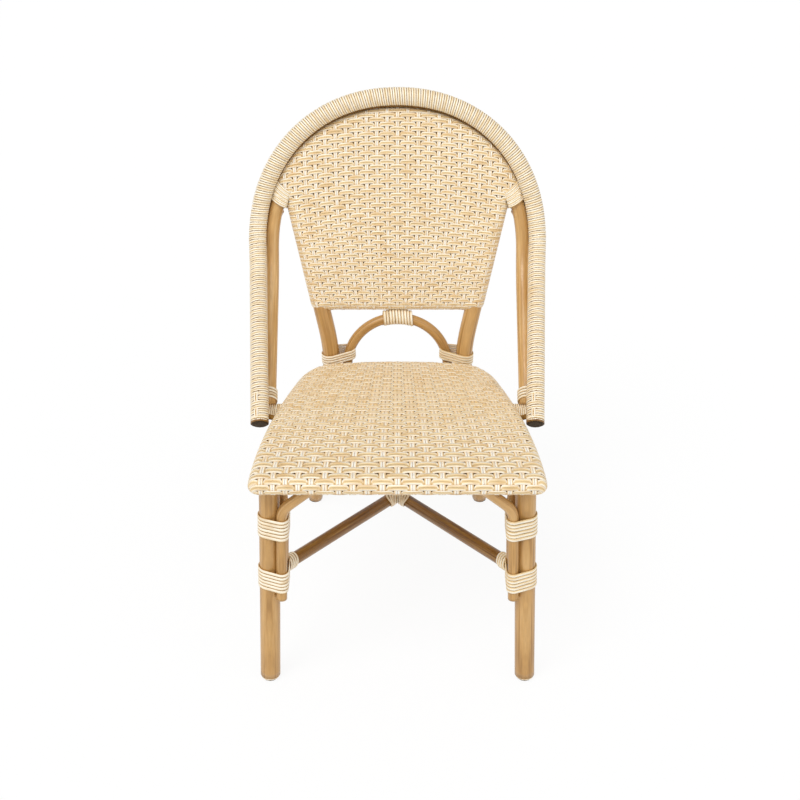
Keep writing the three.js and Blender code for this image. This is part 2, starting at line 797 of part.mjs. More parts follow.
// Outer hoop and its wrapping
const hoopInPlace = cut(pole(hoopPath, hoopRadius, hoopSides), ...dowelRooms);
addMesh(back, 'outer_hoop', hoopInPlace, wood);
const wrapStart = hoopPath[0].clone().lerp(hoopPath[1], hoopBareEnd / hoopPath[0].distanceTo(hoopPath[1]));
const wrapPath = [wrapStart, ...hoopPath.slice(1, -1), wrapStart.clone().setX(-wrapStart.x)];
const longHoopRoom = poleRoom([
  hoopPath[0].clone().addScaledVector(hoopPath[1].clone().sub(hoopPath[0]).normalize(), -cutOverrun),
  ...hoopPath.slice(1, -1),
  hoopPath[hoopPath.length - 1].clone().addScaledVector(hoopLegAxis, cutOverrun),
], hoopRadius, hoopSides);
const hoopWrap = cut(pole(wrapPath, wrappedRadius, hoopSides), longHoopRoom, ...dowelRooms);
addMesh(back, 'outer_hoop_wrapping', hoopWrap, weave);

const dowel = pole(dowelPath, dowelRadius, braceSides);
addPair(seat, 'hoop_dowel', dowel, darkWood);

// Inner hoop, and the bottom rail between the stiles
addMesh(back, 'inner_hoop', cut(pole(innerPath, innerRadius), ...pegRooms), wood);
const bottomRailHeight = kneeHeight + bottomRailAboveKnee;
const stileX = stileAt(bottomRailHeight).x;
const bottomRailPath = [-stileX, stileX].map((x) => point(x, planeY(bottomRailHeight), bottomRailHeight));
addMesh(back, 'back_bottom_rail', cut(pole(bottomRailPath, innerRadius), ...rearLegRooms), wood);

// Small arch
const archRadius = archDiameter / 2;
const archApexHeight = bottomRailHeight - innerWovenRadius - archBindingRoom - 2 * clearance
  - caneThickness - archRadius;
const archApex = point(0, planeY(archApexHeight), archApexHeight);
const archFoot = point(
  kneeSpacing / 2 - archFootInset,
  backPlaneSetback + archFootBehindKnee,
  kneeHeight - archFootBelowKnee,
);
const archPath = Array.from({ length: smallArchSteps + 1 }, (_, i) => {
  const angle = (i / smallArchSteps) * Math.PI;
  const rise = Math.sin(angle);
  return point(
    archFoot.x * Math.cos(angle),
    THREE.MathUtils.lerp(archFoot.y, archApex.y, rise),
    THREE.MathUtils.lerp(archFoot.z, archApex.z, rise),
  );
});
addMesh(back, 'back_arch', pole(archPath, archRadius, braceSides), wood);

// Back weave: one sheet in front of the poles, wound round the hoop, the stiles and the bottom rail
const shoulderHeight = hoopTopHeight - shoulderDrop;
const shoulderIndex = innerHalf.findIndex((p) => p.z < shoulderHeight);
const [aboveShoulder, belowShoulder] = [innerHalf[shoulderIndex - 1], innerHalf[shoulderIndex]];
const shoulder = aboveShoulder.clone().lerp(
  belowShoulder,
  (aboveShoulder.z - shoulderHeight) / (aboveShoulder.z - belowShoulder.z),
);
const wovenHoopPath = wholeHoop([...innerHalf.slice(0, shoulderIndex), shoulder]);
const backOrigin = point(0, planeY(kneeHeight), kneeHeight);
const onPlane = (p) => new THREE.Vector2(p.x, p.clone().sub(backOrigin).dot(leanDown) * -1);
const stilePath = [stileAt(bottomRailHeight - innerWovenRadius), stileAt(stileTopHeight - innerRadius)];
const sheetHalf = [
  ...innerHalf.slice(0, shoulderIndex).filter((p) => p.z > stileTopHeight),
  stilePath[1],
  stileAt(bottomRailHeight),
].map(onPlane);
const backSheet = wovenSheet(
  [...sheetHalf, ...sheetHalf.slice(1).reverse().map((p) => new THREE.Vector2(-p.x, p.y))],
  innerWovenRadius,
  weaveThickness,
);
backSheet.applyMatrix4(new THREE.Matrix4().makeBasis(
  point(1, 0, 0),
  leanDown.clone().negate(),
  leanNormal.clone().negate(),
).setPosition(backOrigin));
const wovenStile = pole(stilePath, rearLegRadius + clearance + weaveThickness, legSides);
const backWeave = cut(
  join(
    pole(wovenHoopPath, innerWovenRadius),
    pole(bottomRailPath, innerWovenRadius),
    ...bothSides([wovenStile]),
    backSheet,
  ),
  innerHoopRoom, ...rearLegRooms,
  poleRoom(bottomRailPath, innerRadius),
  poleRoom(hoopPath, wrappedRadius, hoopSides),
);
addMesh(back, 'back_weave', backWeave, weave);

// Stretchers cross under the seat: one runs whole, the other is two halves butted against it.
const stretcherRadius = stretcherDiameter / 2;
const stretcherFrontEnd = frontLegAt(stretcherFrontHeight);
const stretcherRearEnd = rearLegAt(seatRailHeight - stretcherRearDrop);
const acrossChair = (p) => point(-p.x, p.y, p.z);
const wholeStretcherPath = [acrossChair(stretcherFrontEnd), stretcherRearEnd];
const halvedStretcherPath = [stretcherFrontEnd, acrossChair(stretcherRearEnd)];
const crossingShare = stretcherFrontEnd.x / (stretcherFrontEnd.x + stretcherRearEnd.x);
const crossing = wholeStretcherPath[0].clone().lerp(wholeStretcherPath[1], crossingShare);
const wholeStretcherRoom = poleRoom(wholeStretcherPath, stretcherRadius);

const frontCircles = [
  { x: 0, y: 0, radius: legRadius },
  ...[-frontBraceAngle, frontBraceAngle].map((angle) => braceCircle(legRadius, angle)),
];
const rearCircles = [
  { x: 0, y: 0, radius: rearLegRadius },
  ...[-rearSideBraceAngle, -rearBackBraceAngle].map((angle) => braceCircle(rearLegRadius, angle)),
];

// The room of a binding: the hull of its poles with the strand round them, between two heights of the leg
function bindingRoom(frame, circles, low, high) {
  const outline = hullOutline(circles, 2 * clearance + caneThickness);
  return loft([low, high].map((height) => outline.map(({ place }) => frame.at(height)
    .addScaledVector(frame.toCentre, place.x)
    .addScaledVector(frame.toRear, place.y))));
}

const lowerRoomReach = stretcherDiameter * 2;
const lowerBindingRoom = bindingRoom(
  frontLegFrame, frontCircles,
  stretcherFrontHeight - lowerRoomReach, stretcherFrontHeight + lowerRoomReach,
);
const endRooms = [...bothSides([lowerBindingRoom]), ...rearLegRooms];
const halfPaths = {
  stretcher_front_half: [halvedStretcherPath[0], crossing],
  stretcher_rear_half: [crossing, halvedStretcherPath[1]],
};
const wholeStretcher = cut(pole(wholeStretcherPath, stretcherRadius), ...endRooms);
addMesh(underframe, 'stretcher_whole', wholeStretcher, darkWood);
for (const [name, path] of Object.entries(halfPaths)) {
  addMesh(underframe, name, cut(pole(path, stretcherRadius), wholeStretcherRoom, ...endRooms), darkWood);
}

// Bindings on the legs
function legBinding(frame, circles, height, turns) {
  return {
    centre: frame.at(height),
    axis: frame.direction,
    first: frame.toCentre,
    second: frame.toRear,
    circles,
    turns,
  };
}

const upperBindingHeight = braceTurnHeight - upperBindingBelowTurn;
const rearBindingHeight = rearBraceTurnHeight - rearBindingBelowTurn;
const frontBinding = (height) => legBinding(frontLegFrame, frontCircles, height, legBindingTurns);
addWindingPair('upper_binding', frontBinding(upperBindingHeight));
addWindingPair('lower_binding', frontBinding(stretcherFrontHeight));
addWindingPair('rear_binding', legBinding(rearLegFrame, rearCircles, rearBindingHeight, rearBindingTurns));

// A binding round one pole, a given way along a path from one of its ends
function poleBinding(from, toward, distance, radius, turns) {
  const axis = toward.clone().sub(from).normalize();
  const first = upward.clone().addScaledVector(axis, -upward.dot(axis)).normalize();
  return {
    centre: from.clone().addScaledVector(axis, distance),
    axis,
    first,
    second: axis.clone().cross(first),
    circles: [{ x: 0, y: 0, radius }],
    turns,
  };
}

const pitch = caneWidth + caneGap;
const stretcherBindingLength = stretcherBindingTurns * pitch;
const circleReach = ({ x, y, radius }) => Math.hypot(x, y) + radius;
const frontHullReach = Math.max(...frontCircles.map(circleReach)) + caneThickness;
const addStretcherBinding = (name, end, out) => addWindingPair(name, poleBinding(
  end, crossing, out + stretcherBindingLength / 2, stretcherRadius, stretcherBindingTurns,
));
addStretcherBinding('stretcher_front_binding', stretcherFrontEnd, frontHullReach + stretcherBindingOut);
addStretcherBinding('stretcher_rear_binding', stretcherRearEnd, rearLegRadius + stretcherRearBindingOut);

// The binding of the crossing, whose loops lie fore and aft
const crossingHalfWidth = (crossingBindingTurns * pitch + caneWidth) / 2;
const armSlope = wholeStretcherPath[1].clone().sub(wholeStretcherPath[0]);
const crossingReach = crossingHalfWidth * (armSlope.y / armSlope.x)
  + stretcherRadius * (armSlope.length() / armSlope.x - 1);
const crossingTilt = armSlope.z / armSlope.y;
const crossingRear = point(0, 1, crossingTilt).normalize();
addMesh(bindings, 'crossing_binding', winding('crossing_binding', {
  centre: crossing,
  axis: point(1, 0, 0),
  first: crossingRear,
  second: point(1, 0, 0).cross(crossingRear),
  circles: [
    { x: crossingReach, y: 0, radius: stretcherRadius },
    { x: -crossingReach, y: 0, radius: stretcherRadius },
  ],
  turns: crossingBindingTurns,
}), cane);

// Bindings of the back
function alongPath(path, height) {
  const next = path.findIndex((p) => p.z >= height);
  const [a, b] = [path[next - 1], path[next]];
  return {
    place: a.clone().lerp(b, (height - a.z) / (b.z - a.z)),
    direction: b.clone().sub(a).normalize(),
  };
}

const stileBindingHeight = archFoot.z + stileBindingAboveFoot;
const stileFoot = alongPath(rearLegPath, stileBindingHeight);
const stileFrame = legFrame(() => stileFoot.place, stileFoot.direction);
const archLeg = alongPath(archPath.slice(0, smallArchSteps / 2), stileBindingHeight);
const toArch = archLeg.place.clone().sub(stileFoot.place);
const stileBindingReach = (stileBindingTurns * pitch + caneWidth) / 2;
const archLeanRoom = stileBindingReach * Math.abs(archLeg.direction.x / archLeg.direction.z);
const archCircle = {
  x: toArch.dot(stileFrame.toCentre),
  y: toArch.dot(stileFrame.toRear),
  radius: archRadius + archLeanRoom,
};
const stileCircles = [{ x: 0, y: 0, radius: rearLegRadius }, archCircle];
addWindingPair('stile_binding', {
  ...legBinding(stileFrame, stileCircles, stileBindingHeight, stileBindingTurns),
  margin: stileBindingRoom,
});

// The arch's binding follows its curve.
const archFall = (x) => archFoot.clone().setX(0).sub(archApex)
  .multiplyScalar(1 - Math.sqrt(1 - (x / archFoot.x) ** 2));
addMesh(bindings, 'arch_binding', winding('arch_binding', {
  centre: archApex,
  axis: point(1, 0, 0),
  first: upward,
  second: point(0, -1, 0),
  circles: [{ x: 0, y: 0, radius: archRadius }],
  turns: archBindingTurns,
  margin: archBindingRoom,
  follow: archFall,
}), cane);

addWindingPair('inner_foot_binding', poleBinding(
  innerPath[innerPath.length - 1], innerPath[innerPath.length - 2],
  footBindingUp + (footBindingTurns * pitch) / 2, innerRadius, footBindingTurns,
));

// Caps on the outer hoop's cut ends
const endCap = disc(hoopDiameter - 2 * endCapInset, endCapThickness);
for (const [side, sign] of [['right', 1], ['left', -1]]) {
  const mesh = addMesh(back, `hoop_end_cap_${side}`, endCap, capBrown);
  const axis = hoopLegAxis.clone().setX(sign * hoopLegAxis.x);
  mesh.quaternion.setFromUnitVectors(upward, axis);
  mesh.position.copy(hoopEnd).setX(sign * hoopEnd.x).addScaledVector(axis, clearance);
}

console.log('least gap of each winding to itself, mm', leastGaps);

const chair = new THREE.Group().add(underframe, seat, back, bindings);
const footprint = new THREE.Box3().setFromObject(chair);
chair.position.y = -(footprint.min.y + footprint.max.y) / 2;

export default chair;
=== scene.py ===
import math

import bmesh
import bpy
import numpy as np
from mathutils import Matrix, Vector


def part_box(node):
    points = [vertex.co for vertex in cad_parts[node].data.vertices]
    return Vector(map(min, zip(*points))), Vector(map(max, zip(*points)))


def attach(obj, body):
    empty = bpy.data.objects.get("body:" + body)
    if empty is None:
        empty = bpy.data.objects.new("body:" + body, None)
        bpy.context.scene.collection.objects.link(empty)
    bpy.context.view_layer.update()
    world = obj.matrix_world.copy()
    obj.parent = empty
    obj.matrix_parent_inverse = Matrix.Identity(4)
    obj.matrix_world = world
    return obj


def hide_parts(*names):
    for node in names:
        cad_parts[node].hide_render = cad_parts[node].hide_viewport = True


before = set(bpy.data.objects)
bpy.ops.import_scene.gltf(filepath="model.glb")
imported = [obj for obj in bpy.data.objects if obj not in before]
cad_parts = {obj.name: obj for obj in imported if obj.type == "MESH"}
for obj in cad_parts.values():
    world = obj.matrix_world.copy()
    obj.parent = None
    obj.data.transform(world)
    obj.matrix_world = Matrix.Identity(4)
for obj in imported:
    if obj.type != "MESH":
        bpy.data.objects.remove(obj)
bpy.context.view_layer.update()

# Lengths are in millimetres, with y measured back from the front legs; a mesh is made in metres.
MM = 0.001
front_legs_y = sum(corner.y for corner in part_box("front_glide_right")) / 2


def vec(x, y, z):
    return np.array([x, y, z], float)


def unit(v):
    return v / np.linalg.norm(v, axis=-1, keepdims=True)


def lerp(a, b, share):
    return a + (b - a) * share


def curve(a, b, c, share):
    """A point on the curve from a to c that b pulls towards itself."""
    return lerp(lerp(a, b, share), lerp(b, c, share), share)


def smooth_step(value, low, high):
    share = np.clip((value - low) / (high - low), 0, 1)
    return share * share * (3 - 2 * share)


def square_to(v, along):
    """What is left of v square to a unit direction."""
    return v - np.sum(v * along, axis=-1, keepdims=True) * along


both_sides = (("right", vec(1, 1, 1)), ("left", vec(-1, 1, 1)))


def mirrored(path):
    return path * vec(-1, 1, 1)


def joined(*coordinates):
    """Points from lists of their coordinates, or one number where all have the same."""
    return np.stack(np.broadcast_arrays(*coordinates), axis=-1).astype(float)


def add_object(name, data):
    made = bpy.data.objects.new(name, data)
    bpy.context.scene.collection.objects.link(made)
    return made


# Camera: in the chair's middle plane, in front and above, looking down at the photograph's angle
camera_back = 1752
camera_height = 1564
camera_pitch = 30
focal_pixels = 1326
image_pixels = 800
middle_pixel = 397.5
sensor_width = 36

camera_data = bpy.data.cameras.new("camera")
camera_data.sensor_width = sensor_width
camera_data.lens = focal_pixels / image_pixels * sensor_width
camera_data.shift_x = (image_pixels / 2 - middle_pixel) / image_pixels
camera = add_object("camera", camera_data)
camera.location = (0, front_legs_y - camera_back * MM, camera_height * MM)
camera.rotation_euler = (math.radians(90 - camera_pitch), 0, 0)
bpy.context.scene.camera = camera
bpy.context.scene.view_settings.view_transform = "Standard"


# Swept pieces: every pole and strand is a straight tube that is bent onto its path

tubes = {}
strand_numbers = 50


def new_mesh(name, bm):
    mesh = bpy.data.meshes.new(name)
    bm.to_mesh(mesh)
    bm.free()
    return mesh


def places_of(mesh):
    places = np.empty(3 * len(mesh.vertices))
    mesh.vertices.foreach_get("co", places)
    return places.reshape(-1, 3)


def add_piece(name, mesh, places, material, replaced=()):
    """Puts a mesh's points where they belong on the chair, and its piece on the one body."""
    places = places * MM
    places[:, 1] += front_legs_y
    mesh.vertices.foreach_set("co", places.astype(np.float32).ravel())
    mesh.update()
    mesh.materials.append(material)
    piece = add_object(name, mesh)
    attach(piece, "root")
    if replaced:
        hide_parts(*replaced)


def straight_tube(steps, sides):
    """A closed tube along Z, as a mesh, with each vertex's ring and its place on the unit circle."""
    if (steps, sides) not in tubes:
        bm = bmesh.new()
        bmesh.ops.create_cone(bm, cap_ends=True, segments=sides, radius1=1, radius2=1, depth=steps)
        lengthwise = [e for e in bm.edges if abs(e.verts[0].co.z - e.verts[1].co.z) > steps / 2]
        if steps > 1:
            bmesh.ops.subdivide_edges(bm, edges=lengthwise, cuts=steps - 1)
        mesh = new_mesh("straight_tube", bm)
        places = places_of(mesh)
        tubes[steps, sides] = (mesh, np.rint(places[:, 2] + steps / 2).astype(int), places[:, :2])
    return tubes[steps, sides]


def tangents(path):
    return unit(np.gradient(path, axis=0))


def untwisted(path, start):
    """Directions across a path, carried along it without twist."""
    across = np.empty_like(path)
    last = start
    for i, tangent in enumerate(tangents(path)):
        last = unit(square_to(last, tangent))
        across[i] = last
    return across


def lengths_along(path):
    return np.concatenate([[0], np.cumsum(np.linalg.norm(np.diff(path, axis=0), axis=1))])


def read_at(places, known_places, points):
    """Points between known ones, read at places along them."""
    return np.stack([np.interp(places, known_places, column) for column in points.T], axis=-1)


class Bundle:
    """One piece made of many swept runs."""

    def __init__(self, name, sides):
        self.name = name
        self.sides = sides
        self.bm = bmesh.new()
        self.places = []
        self.marks = []
        self.random = np.random.default_rng(sum(map(ord, name)))

    def add(self, path, facing, width, thickness, edge=0.6, side=1, tint=0):
        """Sweeps a section along a path.

        Facing is the way its flat side looks at each point, and a smaller edge makes it squarer.
        Side says which of its edges is the pale outer one, where the colour paints a highlight, and tint how
        far it turns to honey.
        """
        mesh, ring, circle = straight_tube(len(path) - 1, self.sides)
        self.bm.from_mesh(mesh)
        along = tangents(path)
        out = unit(square_to(facing, along))
        across = np.cross(out, along)
        section = np.sign(circle) * np.abs(circle) ** edge

        def at_rings(values):
            return np.broadcast_to(values, len(path))[ring]

        self.places.append(path[ring] + across[ring] * section[:, :1] * at_rings(width)[:, None] / 2
                           + out[ring] * section[:, 1:] * at_rings(thickness)[:, None] / 2)
        number = self.random.random() * strand_numbers
        lengths = lengths_along(path)[ring]
        self.marks.append(joined(section[:, 0] * side, lengths, number, at_rings(tint)))

    def finish(self, material, slot, replaced=()):
        mesh = new_mesh(self.name, self.bm)
        marks = np.concatenate(self.marks).astype(np.float32)
        strand = mesh.attributes.new("strand", "FLOAT_VECTOR", "POINT")
        strand.data.foreach_set("vector", marks[:, :3].ravel())
        tint = mesh.attributes.new("tint", "FLOAT", "POINT")
        tint.data.foreach_set("value", marks[:, 3].ravel())
        mesh.polygons.foreach_set("use_smooth", np.ones(len(mesh.polygons), bool))
        add_piece(self.name, mesh, np.concatenate(self.places), material, replaced)


# Materials

def new_material(name):
    material = bpy.data.materials.new(name)
    material.use_nodes = True
    return material, material.node_tree, material.node_tree.nodes["Principled BSDF"]


def fill(node, values):
    """Gives a node's inputs, named or numbered, their values, and joins the ones that are sockets."""
    for key, value in values.items():
        if isinstance(value, bpy.types.NodeSocket):
            node.id_data.links.new(value, node.inputs[key])
        else:
            node.inputs[key].default_value = value


def add_node(tree, kind, values=None, **settings):
    made = tree.nodes.new(kind)
    for key, value in settings.items():
        setattr(made, key, value)
    fill(made, values or {})
    return made


def srgb(hex_code):
    """The red, green, blue and alpha of a colour that is written as a hex code."""
    values = [int(hex_code[i:i + 2], 16) / 255 for i in (0, 2, 4)]
    return *(v / 12.92 if v <= 0.04045 else ((v + 0.055) / 1.055) ** 2.4 for v in values), 1


def add_ramp(tree, factor, stops):
    made = add_node(tree, "ShaderNodeValToRGB", {"Fac": factor})
    elements = made.color_ramp.elements
    while len(elements) < len(stops):
        elements.new(0.5)
    for element, (place, colour) in zip(elements, stops):
        element.position = place
        element.color = srgb(colour)
    return made.outputs["Color"]


def mix_colour(tree, factor, a, b, blend="MIX"):
    made = add_node(tree, "ShaderNodeMix", {0: factor, 6: a, 7: b}, data_type="RGBA", blend_type=blend)
    return made.outputs[2]


def shaded(tree, colour, share):
    grey = add_node(tree, "ShaderNodeCombineColor", {0: share, 1: share, 2: share}).outputs[0]
    return mix_colour(tree, 1.0, colour, grey, "MULTIPLY")


def add_math(tree, operation, *values, clamp=False):
    made = add_node(tree, "ShaderNodeMath", dict(enumerate(values)), operation=operation, use_clamp=clamp)
    return made.outputs[0]


def map_range(tree, value, low, high, to_low, to_high):
    return add_node(tree, "ShaderNodeMapRange", {0: value, 1: low, 2: high, 3: to_low, 4: to_high}).outputs[0]


def add_bump(tree, height, strength, distance):
    return add_node(tree, "ShaderNodeBump", {
        "Height": height, "Strength": strength, "Distance": distance * MM,
    }).outputs[0]


def strand_parts(tree):
    """The place across a strand, the length along it in millimetres, and the strand's own number."""
    strand = add_node(tree, "ShaderNodeAttribute", attribute_name="strand").outputs["Vector"]
    return add_node(tree, "ShaderNodeSeparateXYZ", {0: strand}).outputs


def strand_noise(tree, parts, across, along, detail):
    """Noise that is stretched along each strand; across and along say how fast it changes."""
    place = add_node(tree, "ShaderNodeCombineXYZ", {
        0: add_math(tree, "MULTIPLY", parts[0], across),
        1: add_math(tree, "MULTIPLY", parts[1], along),
        2: parts[2],
    }).outputs[0]
    return add_node(tree, "ShaderNodeTexNoise", {
        "Vector": place, "Scale": 1.0, "Detail": detail,
    }).outputs["Fac"]


def cane_material(name, inner, middle, outer, honey, rim):
    """Split cane, cream with fine grain along it: a painted highlight makes its outer band palest, and
    painted shade turns it honey towards its partner and darker at the very rim.
    """
    material, tree, shader = new_material(name)
    parts = strand_parts(tree)
    tint = add_node(tree, "ShaderNodeAttribute", attribute_name="tint").outputs["Fac"]
    grain = strand_noise(tree, parts, across=4.0, along=0.05, detail=3.0)
    patches = strand_noise(tree, parts, across=0.4, along=0.03, detail=1.0)
    edge = add_math(tree, "MULTIPLY_ADD", parts[0], 0.5, 0.5)
    # Across the strand: painted shade at the inner edge where the pair meets and at the rim, a painted
    # highlight on the outer band
    plain = add_ramp(tree, edge, [(0.12, inner), (0.42, middle), (0.7, outer), (0.86, outer), (0.98, rim)])
    patch = map_range(tree, patches, low=0.48, high=0.75, to_low=0.0, to_high=0.8)
    toned = mix_colour(tree, add_math(tree, "ADD", patch, tint, clamp=True), plain, srgb(honey))
    fibres = map_range(tree, grain, low=0.35, high=0.68, to_low=0.88, to_high=1.06)
    fill(shader, {
        "Base Color": shaded(tree, toned, fibres),
        "Roughness": 0.38,
        "Coat Weight": 0.12,
        "Coat Roughness": 0.3,
        "Normal": add_bump(tree, grain, strength=0.25, distance=0.3),
    })
    return material


def pole_material(name, dark, body, light, roughness=0.36):
    """A smooth rattan pole: streaks along it, faint patches and a satin skin."""
    material, tree, shader = new_material(name)
    parts = strand_parts(tree)
    streaks = strand_noise(tree, parts, across=7.0, along=0.008, detail=4.0)
    patches = strand_noise(tree, parts, across=1.2, along=0.012, detail=2.0)
    fibres = strand_noise(tree, parts, across=40.0, along=0.05, detail=2.0)
    streaked = add_ramp(tree, streaks, [(0.32, dark), (0.5, body), (0.7, light)])
    patch = map_range(tree, patches, low=0.45, high=0.75, to_low=0.0, to_high=0.4)
    patched = mix_colour(tree, patch, streaked, srgb(dark))
    fine = map_range(tree, fibres, low=0.3, high=0.7, to_low=0.92, to_high=1.05)
    fill(shader, {
        "Base Color": shaded(tree, patched, fine),
        "Roughness": roughness,
        "Coat Weight": 0.2,
        "Coat Roughness": 0.25,
        "Normal": add_bump(tree, streaks, strength=0.2, distance=0.4),
    })
    return material


def matt_material(name, low, high, roughness, scale):
    """A plain matt surface with faint mottling, for small dark pieces, and for the dark linings and seam
    whose colour is painted shade.
    """
    material, tree, shader = new_material(name)
    place = add_node(tree, "ShaderNodeTexCoord").outputs["Object"]
    noise = add_node(tree, "ShaderNodeTexNoise", {"Vector": place, "Scale": scale, "Detail": 3.0})
    mottle = noise.outputs["Fac"]
    fill(shader, {
        "Base Color": add_ramp(tree, mottle, [(0.35, low), (0.65, high)]),
        "Roughness": roughness,
        "Specular IOR Level": 0.1,
        "Normal": add_bump(tree, mottle, strength=0.2, distance=0.3),
    })
    return material


golden = pole_material("golden_rattan", dark="A5793E", body="C29556", light="D2A86C")
# A paler copy of the golden rattan: painted light for the inner hoop, which lies behind the outer hoop and
# gets less light
lit_golden_rattan = pole_material("lit_golden_rattan", dark="B88A4C", body="D2A769", light="E3C08A", roughness=0.32)
umber = pole_material("umber_rattan", dark="6B4412", body="8F6326", light="AA803E")
# Each cane runs from painted crease shade at its inner edge, through its own cream, to a painted highlight,
# and ends in painted shade at its rim
warp_cane = cane_material("warp_cane", "E2B97C", "FAEACB", "FFFCF2", honey="E9C78E", rim="D0A05C")
weft_cane = cane_material("weft_cane", "EBCD98", "F0D7A8", "FEF6E4", honey="DFB678", rim="D0A05C")
wrap_cane = cane_material("wrap_cane", "E6C78E", "FFF3DA", "FFF6E2", honey="EBCD9A", rim="B07A30")
binding_cane = cane_material("binding_cane", "E3C48C", "FBEFD6", "FDF4E0", honey="E4C492", rim="C89A56")
# Dark colour of the linings under the weaves: painted shade in the holes of the weave
painted_shade_core = matt_material("painted_shade_core", "1E140A", "2E2010", roughness=0.9, scale=300)
glide_brown = matt_material("glide_brown", "3A281A", "4E3826", roughness=0.6, scale=200)
cap_brown = matt_material("cap_brown", "332A20", "544636", roughness=0.7, scale=500)
# Dark brown of the seam between the hoops: painted shade
seam_painted_shade = matt_material("seam_painted_shade", "6B4A24", "8E6A3A", roughness=0.7, scale=300)
peg_brown = matt_material("peg_brown", "6B4A20", "8E682F", roughness=0.6, scale=300)


# Poles
pole_sides = 28


def bent(corners, bend, steps=10):
    """A polyline whose inner corners are rounded, as a pole is bent."""
    corners = [np.asarray(c, float) for c in corners]
    points = [corners[0]]
    for before, corner, after in zip(corners, corners[1:], corners[2:]):
        first = corner + unit(before - corner) * bend
        last = corner + unit(after - corner) * bend
        points += [curve(first, corner, last, share) for share in np.linspace(0, 1, steps + 1)]
    return np.array([*points, corners[-1]])


def sampled(path, step):
    """The same path with points at even steps along it."""
    lengths = lengths_along(path)
    count = max(2, int(round(lengths[-1] / step)))
    return read_at(np.linspace(0, lengths[-1], count + 1), lengths, path)


def add_pole(node, path, radius, material=golden, slot="pole", step=12):
    """Adds the pole that shows in place of a CAD node."""
    path = sampled(path, step)
    start = vec(1, 0, 0) if abs(unit(path[1] - path[0])[0]) < 0.9 else vec(0, 0, 1)
    bundle = Bundle(f"{node}_pole", pole_sides)
    bundle.add(path, untwisted(path, start), 2 * radius, 2 * radius, edge=1)
    bundle.finish(material, slot, [node])


def add_pole_pair(node, path, radius, step=12):
    for side, flip in both_sides:
        add_pole(f"{node}_{side}", path * flip, radius, step=step)


# Seat frame: a plane that falls towards the back
seat_height = 420.5
seat_front = -35
seat_fall = math.tan(math.radians(3.5))
rail_radius = 13
# The poles inside the weaves are this much thinner than the CAD's, so that none shows through
hidden_slack = 0.5

# Half the seat's outline, as half widths and depths: a bowed side, a corner and the back, which meet
# in every second point and are pulled by the ones between
seat_corners = np.array([
    (217, 13.3), (212.1, 183.15), (164, 353), (148, 409), (100, 412), (50, 418), (0, 418),
])
front_half, side_start = seat_corners[0]
side_end = seat_corners[2, 1]
seat_deep = seat_corners[-1, 1]
taper_behind_sides = 0.283


def seat_point(x, depth, rise=0):
    return joined(x, seat_front + depth, seat_height - seat_fall * depth + rise)


def outline_curve(first, steps):
    return curve(*seat_corners[first:first + 3], np.linspace(0, 1, steps + 1)[:, None])


half_outline = np.concatenate([outline_curve(0, 24), outline_curve(2, 16)[1:], outline_curve(4, 8)[1:]])
rail_outline = np.concatenate([half_outline, (half_outline * (-1, 1))[-2::-1]])


def half_width(depth):
    """Half the width between the middles of the side rails, which the columns of the weave follow."""
    share = np.clip((depth - side_start) / (side_end - side_start), 0, None)
    inside = np.minimum(share, 1)
    bowed = curve(*seat_corners[:3, 0], inside)
    return bowed - (share - inside) * (side_end - side_start) * taper_behind_sides


def rail_x(depth):
    return np.interp(depth, half_outline[:, 1], half_outline[:, 0])


# Legs
front_leg_half = 220
front_leg_splay = math.tan(math.radians(2.45))
front_leg_radius = 17
rear_leg_radius = 15
foot_height = 7.1
knee_half = 118
knee_y = 391
knee_height = 425
knee_bend = 50
rear_foot = vec(172, 547, 0)
rear_knee = vec(knee_half, knee_y, knee_height)
stile_top_half = 186
stile_top_height = 706
stile_slope = (stile_top_half - knee_half) / (stile_top_height - knee_height)
# The stiles end in the weave, this far below the CAD's, whose tops would show through it at the rear
stile_cut = 12

# The back leans on one plane and the hoops' legs on another: the way down each, and square to it
lean = math.radians(18.1)
lean_down = vec(0, -math.sin(lean), -math.cos(lean))
lean_normal = vec(0, math.cos(lean), -math.sin(lean))
leg_pitch = math.radians(38.4)
leg_forward = vec(0, -math.cos(leg_pitch), -math.sin(leg_pitch))
leg_normal = vec(0, math.sin(leg_pitch), -math.cos(leg_pitch))


def front_leg_at(height):
    return vec(front_leg_half - front_leg_splay * height, 0, height)


def rear_leg_at(height):
    return lerp(rear_foot, rear_knee, height / knee_height)


def plane_y(height):
    return knee_y + math.tan(lean) * (height - knee_height)


def stile_at(height):
    return vec(knee_half + stile_slope * (height - knee_height), plane_y(height), height)


front_leg_path = np.array([front_leg_at(foot_height), front_leg_at(seat_height + 1)])
rear_leg_path = bent([rear_leg_at(foot_height), rear_knee, stile_at(stile_top_height - stile_cut)], knee_bend)
add_pole_pair("front_leg", front_leg_path, front_leg_radius)
add_pole_pair("rear_leg", rear_leg_path, rear_leg_radius)


# Hoops
def straight_down(top, leg_point):
    """How far down the back's plane a hoop goes before its legs bend forward."""
    return np.dot(leg_point - top, leg_normal) / np.dot(lean_down, leg_normal)


def hoop_half(top, half, rise, power, foot_half, straight, bend, length, steps=40):
    """Half of a hoop from its top to its foot: a power arch, then a leg that draws in to the foot."""
    angles = np.linspace(0, math.pi / 2, steps + 1)
    downs = np.linspace(rise, length, steps)[1:]
    xs = [*(half * np.sin(angles) ** (2 / power)), *lerp(half, foot_half, (downs - rise) / (length - rise))]
    downs = [*(rise * (1 - np.cos(angles) ** (2 / power))), *downs]
    knee = top + lean_down * straight
    points = []
    for x, down in zip(xs, downs):
        if down <= straight - bend:
            place = top + lean_down * down
        elif down >= straight + bend:
            place = knee + leg_forward * (down - straight)
        else:
            share = (down - straight + bend) / (2 * bend)
            place = curve(knee - lean_down * bend, knee, knee + leg_forward * bend, share)
        points.append(place + vec(x, 0, 0))
    return np.array(points)


def whole(half):
    return np.concatenate([mirrored(half[:0:-1]), half])


